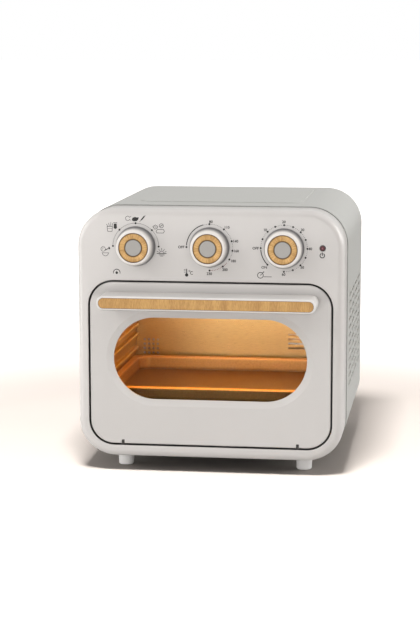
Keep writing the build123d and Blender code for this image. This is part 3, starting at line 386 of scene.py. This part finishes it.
def trayFinish():
    # bronze coating, darker towards the bottom, with a painted highlight along the rim
    look = {"base": (0.38, 0.225, 0.070), "bottom": 0.42, "rim": 1.8, "bottomReach": (0.002, 0.006),
            "rimReach": (0.0035, 0.0005)}
    finish = Finish("trayMetal")
    lines = finish.lines((20, 1, 20), 20)
    rise = finish.split(finish.coords)["Z"]
    floor, rim = low("baking_tray")[2], high("baking_tray")[2]
    dark = finish.ranged(rise, *(floor + reach for reach in look["bottomReach"]), look["bottom"], 1.0)
    rimHighlight = finish.ranged(rise, *(rim - reach for reach in look["rimReach"]), 1.0, look["rim"])
    shade = finish.maths("MULTIPLY", finish.maths("MULTIPLY", dark, rimHighlight), lines["Shade"])
    return finish.close(Base_Color=finish.scaled(look["base"], shade), Normal=finish.bump(lines["Height"], 0.1),
                        Metallic=0.3, Roughness=0.35, Specular_IOR_Level=0.3)


def glassFinish():
    # clear glass with faint smears
    finish = Finish("ovenGlass")
    smear = finish.ranged(finish.noise(finish.coords, 14.0, 4.0), 0.45, 0.75, 0.0, 0.02)
    return finish.close(Base_Color=(1.0, 0.985, 0.96, 1), Roughness=smear, IOR=1.12, Transmission_Weight=1.0)


def lensFinish():
    # maroon plastic with a fine chequered grip
    look = {"light": (0.15, 0.018, 0.03, 1), "dark": (0.06, 0.008, 0.012, 1), "scale": 1400.0}
    finish = Finish("lampLens")
    grid = finish.add("ShaderNodeTexChecker", {"Vector": finish.coords, "Scale": look["scale"],
                                               "Color1": look["light"], "Color2": look["dark"]})
    return finish.close(Base_Color=grid.outputs["Color"], Roughness=0.15, Coat_Weight=0.6)


# name, colour, roughness, size of the skin, bump and patchiness
skins = {
    "foot": ("footRubber", (0.76, 0.735, 0.715), 0.6, 1800, 0.15),
    "black": ("blackPlastic", (0.025, 0.025, 0.027), 0.5, 1500, 0.2, 0.3),
    "rubber": ("sealRubber", (0.03, 0.03, 0.032), 0.7, 1200, 0.2, 0.3),
    # louvre: the casing's sheet made much lighter than the casing, painted light against the shade inside the slots
    "louvre": ("louvrePaint", (0.74, 0.735, 0.70), 0.5, 2600, 0.10, 0.04),
    # seam: dark tubes laid in the joints, painted shadow
    "seam": ("seamLine", (0.16, 0.10, 0.06), 0.6, 2600, 0.10, 0.2),
    "ceramic": ("whiteCeramic", (0.72, 0.70, 0.66), 0.7, 2000, 0.3),
    "ink": ("dialInk", (0.024, 0.021, 0.020), 0.6, 3000, 0.05, 0.2),
    "redInk": ("redInk", (0.20, 0.035, 0.02), 0.6, 3000, 0.05, 0.2),
    "lampRing": ("lampRing", (0.035, 0.022, 0.022), 0.3, 2000, 0.05, 0.2),
    "enamel": ("darkEnamel", (0.045, 0.043, 0.042), 0.3, 700, 0.2, 0.3),
    "wrap": ("coilWrap", (0.55, 0.34, 0.12), 0.55, 900, 0.4, 0.2),
}
# name, colour, roughness, stretch and size of the lines, bump and metallic share
metals = {
    "cavity": ("cavitySteel", (0.54, 0.40, 0.17), 0.32, (4, 4, 60), 30, 0.03, 0.75),
    "plated": ("platedSheet", (0.62, 0.63, 0.64), 0.42, (3, 3, 3), 30, 0.15, 0.95),
    "screw": ("screwSteel", (0.55, 0.55, 0.57), 0.35, (1, 1, 1), 400, 0.2),
    "chrome": ("rackChrome", (0.80, 0.79, 0.77), 0.14, (1, 1, 1), 150, 0.05),
    "sheath": ("heaterSheath", (0.24, 0.22, 0.21), 0.5, (1, 1, 1), 300, 0.3, 0.8),
    "aluminium": ("fanAluminium", (0.72, 0.72, 0.73), 0.38, (2, 2, 2), 60, 0.15),
    "laminated": ("laminatedSteel", (0.30, 0.30, 0.31), 0.45, (1, 1, 40), 60, 0.6),
    "hingeSteel": ("hingeSteel", (0.07, 0.065, 0.06), 0.5, (1, 1, 1), 300, 0.2, 0.6),
    "brass": ("bearingBrass", (0.72, 0.55, 0.25), 0.35, (1, 1, 1), 300, 0.2),
}


def makeFinishes():
    # the door's outline places the painted joint shadow, and band and shade set the painted shade above the handle
    door = {"centre": middle("door_front_moulding"), "half": span("door_front_moulding") / 2, "corner": 0.0312,
            "band": high("handle_body")[2], "shade": 0.78}
    made = {key: skinFinish(*values) for key, values in skins.items()}
    made.update({key: brushedFinish(*values) for key, values in metals.items()})
    made["frame"] = panelFinish("framePlastic", (0.580, 0.554, 0.534), dict(door, shade=1.0), 0.0045, frontY)
    made["door"] = panelFinish("doorPlastic", (0.600, 0.574, 0.553), door, -0.0012,
                               low("door_front_moulding")[1] + 0.0006, inwards=-1.0)
    made.update(handle=handleFinish(), knob=knobFinish(), disc=discFinish(), ring=ringFinish(), strip=stripFinish(),
                casing=casingFinish(), trayMetal=trayFinish(), glass=glassFinish(), lens=lensFinish())
    return made


finishes = makeFinishes()
print("finishes made", len(finishes))

# Which finish each carried-over piece wears
wears = {
    "frame": ("front_frame",),
    "door": ("door_front_moulding",),
    "handle": ("handle_body",),
    "knob": tuple(name + "_knob" for name in dialNames),
    "ring": tuple(name + "_knob_ring" for name in dialNames),
    "disc": tuple(name + "_knob_disc" for name in dialNames),
    "strip": ("handle_wood_strip",),
    "casing": ("outer_casing",),
    "foot": ("feet",),
    "black": ("rear_vent_cover", "cord_gland", "function_switch", "glass_spacer"),
    "rubber": ("door_seal",),
    "ceramic": ("heater_ceramics", "thermal_cutout", "terminal_block"),
    "enamel": ("crumb_tray", "cavity_front_flange"),
    "wrap": ("motor_coil",),
    "cavity": ("cavity_side_left", "cavity_side_right", "cavity_back", "cavity_ceiling", "cavity_floor",
               "fan_guard", "fan_chamber"),
    "plated": ("base_plate", "rear_panel", "door_inner_frame", "motor_mount", "control_bracket", "thermostat", "timer"),
    "hingeSteel": ("hinge_brackets", "hinge_pins"),
    "trayMetal": ("baking_tray",),
    "screw": ("casing_screws", "handle_screws", "motor_shaft") + tuple(name + "_shaft" for name in dialNames),
    "chrome": ("wire_rack",),
    "sheath": ("upper_heater", "lower_heaters"),
    "aluminium": ("fan_impeller", "cooling_fan"),
    "laminated": ("motor_stator", "motor_rotor"),
    "brass": ("motor_bearings",),
    "glass": ("window_glass_outer", "window_glass_inner"),
    "lampRing": ("indicator_lens",),
}


def dressNodes():
    bare = set(nodes)
    for finish, names in wears.items():
        for name in names:
            mesh = nodes[name].data
            mesh.materials.clear()
            mesh.materials.append(finishes[finish])
            bare.discard(name)
    print("dressed", len(nodes) - len(bare), "left bare", sorted(bare))


dressNodes()


# Helpers for new pieces

def addPiece(name, mesh, finish, body):
    piece = bpy.data.objects.new(name, mesh)
    scene.collection.objects.link(piece)
    mesh.materials.append(finishes[finish])
    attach(piece, body)
    return piece


def meshFrom(shape, name):
    mesh = bpy.data.meshes.new(name)
    shape.to_mesh(mesh)
    shape.free()
    return mesh


def plainMesh(carrier):
    return bpy.data.meshes.new_from_object(carrier.evaluated_get(bpy.context.evaluated_depsgraph_get()))


def growMesh(name, tree, values, finish, body):
    # runs a geometry tree once and keeps the plain mesh that it makes
    carrier = bpy.data.objects.new(name, bpy.data.meshes.new(name))
    scene.collection.objects.link(carrier)
    modifier = carrier.modifiers.new("grow", "NODES")
    modifier.node_group = tree
    for item in tree.interface.items_tree:
        if item.item_type == "SOCKET" and item.in_out == "INPUT":
            modifier[item.identifier] = finishes[finish] if item.name == "Material" else values[item.name]
    made = plainMesh(carrier)
    carrier.modifiers.clear()
    carrier.data = made
    made.name = name
    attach(carrier, body)
    return carrier


class ShapeTree(Group):
    # a geometry tree that ends in real geometry with one material
    def __init__(self, name, inputs):
        super().__init__(name, {**inputs, "Material": None}, "GeometryNodeTree")

    def close(self, geometry):
        real = self.add("GeometryNodeRealizeInstances", {"Geometry": geometry})
        painted = self.add("GeometryNodeSetMaterial", {"Geometry": real, "Material": self.given["Material"]})
        return super().close(Geometry=painted)


# Print on the fascia: flat shapes a hair proud of it, in millimetres across and up

dial = {"ring": 30.0, "bigDot": 1.3, "fineDot": 0.42, "label": 3.4, "line": 1.15, "bold": 0.13, "capital": 0.72}
printY = frontY - 0.00005


class Print:
    def __init__(self):
        self.shape = bmesh.new()
        self.origin = (0, 0)

    def at(self, x, z):
        # the next shapes are drawn round this point
        self.origin = (x, z)

    def face(self, corners):
        area = sum(a[0] * b[1] - b[0] * a[1] for a, b in zip(corners, corners[1:] + corners[:1]))
        x, z = self.origin
        self.shape.faces.new([self.shape.verts.new(((x + corner[0]) * mm, printY, (z + corner[1]) * mm))
                              for corner in (corners if area > 0 else corners[::-1])])

    def disc(self, x, z, radius, sides=20):
        turns = [2 * math.pi * i / sides for i in range(sides)]
        self.face([(x + radius * math.cos(turn), z + radius * math.sin(turn)) for turn in turns])

    def line(self, points, width, closed=False):
        path = [Vector(p) for p in points]
        if closed:
            path.append(path[0])
        for a, b in zip(path, path[1:]):
            along = (b - a).normalized() * width / 2
            side = Vector((-along.y, along.x))
            a, b = a - along * 0.6, b + along * 0.6
            self.face([tuple(a + side), tuple(a - side), tuple(b - side), tuple(b + side)])

    def arc(self, x, z, radius, start, stop, width, steps=24):
        inner, outer = radius - width / 2, radius + width / 2
        turns = [math.radians(start + (stop - start) * i / steps) for i in range(steps + 1)]
        for a, b in zip(turns, turns[1:]):
            self.face([(x + r * math.cos(t), z + r * math.sin(t))
                       for r, t in ((inner, a), (outer, a), (outer, b), (inner, b))])

    def labels(self, places):
        for words, (x, z) in places.items():
            curve = bpy.data.curves.new("label", "FONT")
            curve.body = words
            curve.size = dial["label"] * mm / dial["capital"]
            curve.align_x = "CENTER"
            curve.resolution_u = 3
            curve.offset = dial["bold"] * mm
            label = bpy.data.objects.new("label", curve)
            scene.collection.objects.link(label)
            bpy.context.view_layer.update()
            made = plainMesh(label)
            bpy.data.objects.remove(label)
            made.transform(Matrix.Translation((x * mm, printY, (z - dial["label"] / 2) * mm))
                           @ Matrix.Rotation(math.pi / 2, 4, "X"))
            self.shape.from_mesh(made)
            bpy.data.meshes.remove(made)

    def done(self, name):
        return addPiece(name, meshFrom(self.shape, name), "ink", "housing")


def makeDotTree():
    # dots set round a dial from a first angle, a step apart
    tree = ShapeTree("dialDots", {"Centre": (0, 0, 0), "Ring Radius": 0.03, "First Angle": 0.0, "Step": 0.2,
                                  "Count": 5, "Dot Radius": 0.0007})
    given = tree.given
    angle = tree.maths("MULTIPLY_ADD", tree.add("GeometryNodeInputIndex"), given["Step"], given["First Angle"])
    place = tree.joined(X=tree.maths("MULTIPLY", tree.maths("COSINE", angle), given["Ring Radius"]),
                        Z=tree.maths("MULTIPLY", tree.maths("SINE", angle), given["Ring Radius"]))
    places = tree.add("GeometryNodeSetPosition", {
        "Geometry": tree.add("GeometryNodeMeshLine", {"Count": given["Count"]}),
        "Position": tree.vector("ADD", place, given["Centre"])})
    dot = tree.add("GeometryNodeMeshCircle", {"Vertices": 14, "Radius": given["Dot Radius"]}, fill_type="NGON")
    return tree.close(tree.add("GeometryNodeInstanceOnPoints", {
        "Points": places, "Instance": dot, "Rotation": (math.pi / 2, 0, 0)}))


dotTree = makeDotTree()


def dots(name, centre, first, step, count, radius, finish="ink"):
    values = {"Centre": (centre.x, printY, centre.z), "Ring Radius": dial["ring"] * mm,
              "First Angle": math.radians(first), "Step": math.radians(step), "Count": count,
              "Dot Radius": radius * mm}
    return growMesh(name, dotTree, values, finish, "housing")


def around(centre, angle, radius):
    turn = math.radians(angle)
    return centre.x / mm + radius * math.cos(turn), centre.z / mm + radius * math.sin(turn)


def functionPrint():
    centre = dialCentres[0]
    dots("function_dots", centre, 0, 45, 5, dial["bigDot"])
    dots("function_fine_dots", centre, 2.5, 2.5, 71, dial["fineDot"])
    marks = Print()
    thin, stroke = 0.4, 0.62
    # upper left symbol
    marks.at(-129.6, 324.0)
    marks.line([(-4.2, 0.6), (-3.4, -5.8), (2.2, -5.8), (2.9, 0.6)], stroke, closed=True)
    marks.line([(-3.8, -2.0), (2.5, -2.0)], thin)
    for foot, lean in ((-3.1, -2.6), (-1.3, -1.2), (0.5, 0.4), (2.3, 1.4)):
        marks.line([(foot, 0.8), (foot + lean * 0.7, 6.2 - abs(lean))], stroke)
    marks.face([(4.4, -1.4), (4.8, 4.4), (8.4, 4.4), (8.8, -1.4), (6.6, -2.8)])
    marks.line([(4.2, 5.6), (9.0, 5.6)], stroke)
    # left symbol
    marks.at(-136.0, 292.6)
    marks.arc(-3.2, 2.6, 3.0, 0, 360, stroke, 18)
    marks.arc(-3.2, 2.6, 1.3, 40, 220, thin, 8)
    marks.line([(-0.8, 1.0), (3.6, 3.4)], 1.1)
    marks.disc(4.6, 4.6, 1.0, 10)
    marks.disc(5.0, 3.2, 1.0, 10)
    marks.line([(-5.0, -2.4), (4.2, -2.4)], stroke)
    marks.arc(-0.4, -2.4, 4.0, 180, 360, stroke, 14)
    # top symbol
    marks.at(-97.0, 334.8)
    marks.arc(-9.6, 0.6, 2.9, 30, 330, stroke, 14)
    marks.line([(-7.1, 2.0), (-5.4, 3.2)], stroke)
    marks.line([(-7.1, -0.8), (-5.6, -1.8)], stroke)
    marks.face([(-4.4, -1.8), (-1.8, -3.0), (2.0, -2.8), (4.2, -0.6), (5.0, 2.2), (2.4, 2.0), (-0.6, 2.6),
                (-3.4, 1.2)])
    marks.line([(6.0, -3.6), (8.6, -0.6)], 0.6)
    marks.line([(8.4, -0.9), (12.0, 3.2)], 1.7)
    marks.line([(12.0, 3.2), (13.4, 4.8)], 0.6)
    # upper right symbol
    marks.at(-66.2, 321.8)
    marks.line([(-7.6, 3.4), (-4.0, 5.6), (-1.2, 3.6), (-2.2, 0.8), (-5.4, 0.2)], stroke, closed=True)
    marks.line([(-6.2, 2.8), (-3.2, 4.2)], thin)
    marks.line([(-5.2, 1.6), (-2.4, 3.0)], thin)
    marks.arc(3.6, 4.6, 2.7, 0, 360, stroke, 14)
    marks.line([(2.0, 3.8), (5.0, 5.6)], 0.9)
    marks.line([(-2.4, -4.8), (6.2, -4.8), (7.6, -2.4), (6.2, -0.2), (-1.2, -0.2), (-3.4, -2.4)], stroke,
               closed=True)
    # right symbol, a half sun
    marks.at(-62.4, 291.6)
    marks.arc(0, -1.0, 2.9, 0, 180, stroke, 12)
    marks.line([(-6.2, -1.2), (6.2, -1.2)], 0.9)
    for angle in (22, 56, 90, 124, 158):
        turn = math.radians(angle)
        marks.line([(reach * math.cos(turn), reach * math.sin(turn) - 1) for reach in (4.1, 6.6)], stroke)
    marks.line([(-3.6, -3.0), (3.6, -3.0)], 0.7)
    marks.line([(-1.8, -4.6), (1.8, -4.6)], 0.6)
    # turning mark
    marks.at(-121.6, 264.6)
    marks.arc(0, 0, 4.4, 5, 175, 1.0, 20)
    for x in (-4.4, 4.4):
        marks.line([(x, 0.8), (x, -1.0)], 0.8)
    marks.disc(0, -0.2, 1.7, 16)
    marks.face([(-1.2, 0.6), (1.2, 0.6), (0, 2.5)])
    marks.done("function_print")


def temperaturePrint():
    centre = dialCentres[1]
    marks = Print()
    marks.labels({"OFF": (-36.9, 299.3), "80": (1.9, 332.6), "110": (22.5, 325.6), "140": (33.8, 307.9),
                  "160": (34.6, 295.2), "180": (30.8, 282.2), "200": (20.1, 270.8), "230": (-0.3, 265.2)})
    for angle in (180, 90, 51.4, 16, -7.7, -30.8, -54.8, -90):
        marks.disc(*around(centre, angle, dial["ring"]), dial["bigDot"])
    marks.arc(centre.x / mm, centre.z / mm, dial["ring"], 176, 105, dial["line"], 30)
    # thermometer and degree sign
    marks.at(-29.8, 266.2)
    marks.line([(0, -2.4), (0, 4.4)], 1.2)
    marks.disc(0, -3.2, 2.2, 14)
    for rise in (0.4, 2.2, 4.0):
        marks.line([(-3.4, rise), (-1.4, rise)], 0.6)
    marks.arc(3.6, 2.2, 0.9, 0, 360, 0.5, 10)
    marks.arc(6.8, -0.4, 2.0, 50, 310, 0.75, 12)
    marks.done("temperature_print")
    dots("temperature_fine_dots", centre, 101, -3.9, 36, dial["fineDot"])
    dots("temperature_hot_dots", centre, -42, -4.0, 12, dial["fineDot"] * 1.25, "redInk")


def timerPrint():
    centre = dialCentres[2]
    marks = Print()
    marks.labels({"OFF": (59.7, 299.2), "10": (72.0, 323.0), "20": (95.9, 333.6), "30": (119.9, 323.7),
                  "40": (130.0, 299.4), "50": (119.8, 275.4), "60": (95.9, 265.9), "ON": (70.9, 274.7)})
    marks.arc(centre.x / mm, centre.z / mm, dial["ring"], 184, 225, dial["line"], 20)
    marks.disc(*around(centre, -135, dial["ring"]), dial["bigDot"])
    # stopwatch and its line
    marks.at(66.0, 264.2)
    marks.arc(0, 0, 3.7, 0, 360, 0.9)
    marks.line([(0, 0), (1.8, 1.8)], 0.7)
    marks.line([(2.9, 3.2), (4.6, 4.8)], 1.1)
    marks.line([(4.4, -1.8), (14.4, -1.8)], 0.75)
    # power mark under the lamp
    marks.at(145.4, 290.9)
    marks.arc(0, 0, 2.9, 118, 422, 1.25)
    marks.line([(0, 0.2), (0, 3.6)], 1.25)
    marks.done("timer_print")
    dots("timer_dots", centre, 180, -22.5, 13, dial["bigDot"])
    dots("timer_fine_dots", centre, 177, -4.5, 60, dial["fineDot"])


functionPrint()
temperaturePrint()
timerPrint()
print("dials printed")


# Front frame: its outer wall is drawn in a little, so that the casing edge shows as a seam round it

def addSeamedFrame():
    seam = {"inset": 1.05, "reach": 7.0, "radius": 50.0, "footLow": 40.0, "footHigh": 75.0, "merge": 0.002,
            "crease": 32}
    shape = bmesh.new()
    shape.from_mesh(nodes["front_frame"].data)
    bmesh.ops.remove_doubles(shape, verts=shape.verts, dist=seam["merge"] * mm)
    lowZ, highZ = low("front_frame")[2] / mm, high("front_frame")[2] / mm
    centreZ, halfZ = (lowZ + highZ) / 2, (highZ - lowZ) / 2
    halfX = high("front_frame")[0] / mm
    for vert in shape.verts:
        x, z = vert.co.x / mm, vert.co.z / mm
        # how far the point lies out from the centre of its corner's arc
        cornerX = max(abs(x) - (halfX - seam["radius"]), 0.0)
        cornerZ = max(abs(z - centreZ) - (halfZ - seam["radius"]), 0.0)
        outwards = math.hypot(cornerX, cornerZ)
        if outwards < seam["radius"] - seam["reach"]:
            continue
        depthIn = max(seam["radius"] - outwards, 0.0)
        share = max(1 - depthIn / seam["reach"], 0.0)
        share = share * share * (3 - 2 * share)
        # the wall keeps its place towards the feet
        grip = min(max((z - seam["footLow"]) / (seam["footHigh"] - seam["footLow"]), 0.0), 1.0)
        move = seam["inset"] * share * grip * mm / outwards
        vert.co.x -= math.copysign(cornerX, x) * move
        vert.co.z -= math.copysign(cornerZ, z - centreZ) * move
    mesh = meshFrom(shape, "front_frame_seamed")
    mesh.shade_smooth()
    mesh.set_sharp_from_angle(angle=math.radians(seam["crease"]))
    piece = addPiece("front_frame_seamed", mesh, "frame", "housing")
    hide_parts("front_frame")
    return piece


seamedFrame = addSeamedFrame()
print("frame seam drawn")


# Thin dark tubes round the wooden rings, discs and handle strip: painted shadow in the joints

def makeJointTree():
    # a tube that follows a rounded rectangle standing on the fascia
    tree = ShapeTree("jointLine", {"Centre": (0, 0, 0), "Width": 0.03, "Height": 0.03, "Corner": 0.015,
                                   "Thickness": 0.0004, "Corner Steps": 16})
    given = tree.given
    outline = tree.add("GeometryNodeCurvePrimitiveQuadrilateral", {"Width": given["Width"], "Height": given["Height"]})
    rounded = tree.add("GeometryNodeFilletCurve", {
        "Curve": outline, "Radius": given["Corner"], "Count": given["Corner Steps"]}, mode="POLY")
    stand = tree.add("GeometryNodeTransform", {
        "Geometry": rounded, "Translation": given["Centre"], "Rotation": (math.pi / 2, 0, 0)})
    section = tree.add("GeometryNodeCurvePrimitiveCircle", {"Resolution": 8, "Radius": given["Thickness"]})
    return tree.close(tree.add("GeometryNodeCurveToMesh", {"Curve": stand, "Profile Curve": section}))


def addJointLines():
    joint = {"ring": 18.95, "disc": 10.9, "dialLine": 0.42, "dialSteps": 16, "dialSet": 0.12,
             "stripLine": 0.36, "stripSteps": 12, "stripSet": 0.3, "stripGap": 0.4}
    tree = makeJointTree()
    for name, centre in zip(dialNames, dialCentres):
        for part in ("ring", "disc"):
            radius, face = joint[part], low(name + "_knob_" + part)[1]
            growMesh(name + "_" + part + "_line", tree, {
                "Centre": (centre.x, face + joint["dialSet"] * mm, centre.z), "Width": 2 * radius * mm,
                "Height": 2 * radius * mm, "Corner": radius * 0.9999 * mm, "Thickness": joint["dialLine"] * mm,
                "Corner Steps": joint["dialSteps"]}, "seam", name + "_control")
    strip, size = middle("handle_wood_strip"), span("handle_wood_strip")
    growMesh("handle_strip_line", tree, {
        "Centre": (strip.x, low("handle_body")[1] + joint["stripSet"] * mm, strip.z),
        "Width": size.x + joint["stripGap"] * mm, "Height": size.z + joint["stripGap"] * mm,
        "Corner": size.z * 0.49, "Thickness": joint["stripLine"] * mm, "Corner Steps": joint["stripSteps"]},
        "seam", "door")


addJointLines()
print("joint lines drawn")


# Side louvres: a curved fin stands inside every slot of the casing, lighter than the casing: painted light

def makeFinTree():
    tree = ShapeTree("sideLouvres", {"Centre": (0, 0, 0), "Side": 1.0, "Columns": 4, "Rows": 12, "Pitch Along": 0.06,
                                     "Pitch Up": 0.0109, "Fin Size": (0, 0, 0), "Reach": 0.003})
    given = tree.given
    along, up = (tree.maths("MULTIPLY", tree.maths("SUBTRACT", given[count], 1), given[pitch])
                 for count, pitch in (("Columns", "Pitch Along"), ("Rows", "Pitch Up")))
    grid = tree.add("GeometryNodeMeshGrid", {
        "Vertices X": given["Columns"], "Vertices Y": given["Rows"], "Size X": along, "Size Y": up})
    flat = tree.split(tree.add("GeometryNodeInputPosition"))
    places = tree.add("GeometryNodeSetPosition", {
        "Geometry": grid, "Position": tree.vector("ADD", tree.joined(Y=flat["X"], Z=flat["Y"]), given["Centre"])})
    # each fin bends inwards from its top edge down
    slab = tree.add("GeometryNodeMeshCube", {
        "Size": given["Fin Size"], "Vertices X": 2, "Vertices Y": 2, "Vertices Z": 7})
    here, size = tree.split(tree.add("GeometryNodeInputPosition")), tree.split(given["Fin Size"])
    fall = tree.maths("SUBTRACT", 0.5, tree.maths("DIVIDE", here["Z"], size["Z"]))
    curve = tree.maths("SINE", tree.maths("MULTIPLY", fall, math.pi / 2))
    lean = tree.maths("MULTIPLY", tree.maths("MULTIPLY", curve, given["Reach"]), given["Side"])
    bend = tree.add("GeometryNodeSetPosition", {
        "Geometry": slab, "Offset": tree.joined(X=tree.maths("MULTIPLY", lean, -1.0))})
    return tree.close(tree.add("GeometryNodeInstanceOnPoints", {"Points": places, "Instance": bend}))


def addLouvres():
    louvre = {"columns": 4, "rows": 12, "along": 60.0, "up": 10.9, "y": 40.25, "z": 167.0, "length": 46.0,
              "height": 5.6, "thick": 0.7, "reach": 0.7, "sheet": 1.2, "gap": 0.05}
    tree = makeFinTree()
    for name, side in (("louvres_left", -1.0), ("louvres_right", 1.0)):
        x = side * (caseHalf / mm - louvre["sheet"] - louvre["gap"] - louvre["thick"] / 2)
        growMesh(name, tree, {
            "Centre": (x * mm, louvre["y"] * mm, louvre["z"] * mm), "Side": side, "Columns": louvre["columns"],
            "Rows": louvre["rows"], "Pitch Along": louvre["along"] * mm, "Pitch Up": louvre["up"] * mm,
            "Fin Size": (louvre["thick"] * mm, louvre["length"] * mm, louvre["height"] * mm),
            "Reach": louvre["reach"] * mm}, "louvre", "housing")


addLouvres()
print("louvres set")


# Signal lamp: a domed lens, lightly ribbed, inside its dark rim

def addLamp():
    lamp = {"radius": 2.7, "dome": 0.5, "ribs": 4, "ribHeight": 0.12, "rings": 12, "sides": 32}
    centre, face = middle("indicator_lens"), low("indicator_lens")[1]
    shape = bmesh.new()
    rows = []
    for i in range(lamp["rings"] + 1):
        share = i / lamp["rings"]
        row = []
        for k in range(lamp["sides"] if i else 1):
            turn = 2 * math.pi * k / lamp["sides"]
            out = lamp["radius"] * share
            proud = lamp["dome"] * (1 - share ** 2) + lamp["ribHeight"] * math.cos(turn * lamp["ribs"]) * share
            row.append(shape.verts.new((centre.x + out * math.cos(turn) * mm, face - proud * mm,
                                        centre.z + out * math.sin(turn) * mm)))
        rows.append(row)
    for k in range(lamp["sides"]):
        after = (k + 1) % lamp["sides"]
        shape.faces.new([rows[0][0], rows[1][k], rows[1][after]])
        for inner, outer in zip(rows[1:], rows[2:]):
            shape.faces.new([inner[k], outer[k], outer[after], inner[after]])
    mesh = meshFrom(shape, "lamp_lens_face")
    mesh.shade_smooth()
    addPiece("lamp_lens_face", mesh, "lens", "housing")


addLamp()
print("lamp set")


# Floor, daylight and the glow inside

def addStage():
    stage = {"half": 30.0, "drop": 0.0002, "shade": (0.292, 0.263, 0.242), "bounce": (0.148, 0.143, 0.138),
             "near": 0.45, "far": 1.2}
    shape = bmesh.new()
    corners = [(-1, -1), (1, -1), (1, 1), (-1, 1)]
    shape.faces.new([shape.verts.new((x * stage["half"], y * stage["half"], -stage["drop"])) for x, y in corners])
    floor = bpy.data.objects.new("floor", meshFrom(shape, "floor"))
    scene.collection.objects.link(floor)
    # pale near the object, plain white further off, and a weaker bounce than it looks
    finish = Finish("paleFloor")
    seen = finish.add("ShaderNodeLightPath").outputs["Is Camera Ray"]
    fade = finish.ranged(finish.vector("LENGTH", finish.coords), stage["near"], stage["far"], smooth=True)
    floor.data.materials.append(finish.close(
        Base_Color=finish.mixed(seen, (*stage["bounce"], 1), (*stage["shade"], 1)), Roughness=0.9,
        Specular_IOR_Level=0.1, Emission_Color=(1, 1, 1, 1), Emission_Strength=finish.maths("MULTIPLY", fade, seen)))
    return floor


def addWorld():
    # white behind everything, with a softer sky for lighting that is brighter to the front left
    sky = {"least": 0.70, "most": 0.74, "towards": (-0.60, -0.55, 0.58), "colour": (1.0, 0.99, 0.975, 1)}
    world = bpy.data.worlds.new("studio")
    world.use_nodes = True
    tree = Tree(world.node_tree)
    dim = world.node_tree.nodes["Background"]
    ahead = tree.add("ShaderNodeTexCoord").outputs["Generated"]
    facing = tree.vector("DOT_PRODUCT", ahead, Vector(sky["towards"]).normalized())
    tree.feed(dim.inputs["Color"], sky["colour"])
    tree.feed(dim.inputs["Strength"], tree.ranged(facing, -1.0, 1.0, sky["least"], sky["most"]))
    white = tree.add("ShaderNodeBackground", {"Color": (1, 1, 1, 1), "Strength": 1.0})
    seen = tree.add("ShaderNodeLightPath").outputs["Is Camera Ray"]
    tree.feed(world.node_tree.nodes["World Output"].inputs["Surface"],
              tree.add("ShaderNodeMixShader", {0: seen, 1: dim, 2: white}))
    scene.world = world


def addAreaLight(name, place, aim, size, power, colour=(1, 1, 1)):
    data = bpy.data.lights.new(name, "AREA")
    data.shape = "RECTANGLE"
    data.size, data.size_y = size
    data.energy = power
    data.color = colour
    light = bpy.data.objects.new(name, data)
    scene.collection.objects.link(light)
    light.location = place
    light.visible_camera = False
    light.rotation_euler = (Vector(aim) - Vector(place)).to_track_quat("-Z", "Y").to_euler()
    return light


def collect(name, *pieces):
    group = bpy.data.collections.new(name)
    for piece in pieces:
        group.objects.link(piece)
    return group


def addLights(floor):
    # place, aim, size and power
    studio = {
        "keyLeft": ((-2.3, -1.9, 1.7), (0, 0, 0.15), (1.1, 1.1), 19),
        "frontSoft": ((0.1, -1.5, 2.9), (0, 0, 0.25), (1.6, 1.0), 4),
        "frontLow": ((-0.3, -2.8, 0.25), (0, 0, 0.08), (1.4, 0.4), 14),
        "topSoft": ((0.1, 0.8, 2.3), (0, 0.05, 0.3), (1.6, 1.6), 4),
        "sideRight": ((1.8, 0.25, 0.9), (0.1, 0, 0.3), (1.0, 1.0), 22),
        "edgeLeft": ((-2.8, -0.3, 0.9), (-0.1, 0, 0.17), (0.5, 1.8), 14),
    }
    for name, values in studio.items():
        addAreaLight(name, *values)
    # only the body and feet shade this light, so the handle draws no stripe on the floor
    wash = addAreaLight("floorWash", (0, -1.25, 2.4), (0, -1.25, 0), (0.6, 0.6), 285)
    wash.light_linking.receiver_collection = collect("onlyFloor", floor)
    wash.light_linking.blocker_collection = collect("bodyShade", nodes["outer_casing"], nodes["base_plate"],
                                                    nodes["feet"], seamedFrame)
    # a near strip that brightens the left edge of the front frame alone
    strip = addAreaLight("edgeNear", (-0.55, -0.32, 0.22), (-0.17, -0.15, 0.18), (0.15, 0.5), 0.75)
    strip.light_linking.receiver_collection = collect("onlyFrame", seamedFrame)
    fill = addAreaLight("feetFill", (-0.9, -1.6, 0.35), (0, -0.1, 0.01), (0.3, 0.3), 4)
    fill.light_linking.receiver_collection = collect("onlyFeet", nodes["feet"])
    # warm glow under the ceiling, low and high behind the door, and behind the back wall
    warm = (1.0, 0.42, 0.07)
    ceiling, mouth, centre = low("cavity_ceiling")[2], low("cavity_floor")[1], middle("cavity_floor").y
    glow = {
        "glowTop": ((0, centre, ceiling - 0.006), (0, centre, 0.05), (0.24, 0.20), 0.34),
        "glowDoor": ((0, mouth - 0.001, 0.140), (0, low("baking_tray")[1], 0.096), (0.28, 0.006), 0.15),
        "glowRear": ((0, high("cavity_back")[1] + 0.002, 0.17), (0, low("rear_panel")[1], 0.17), (0.27, 0.10), 0.10),
        "glowFront": ((0, mouth + 0.012, ceiling - 0.02), (0, centre + 0.05, 0.12), (0.24, 0.03), 0.10),
    }
    for name, values in glow.items():
        addAreaLight(name, *values, warm)


addWorld()
addLights(addStage())
print("stage lit")
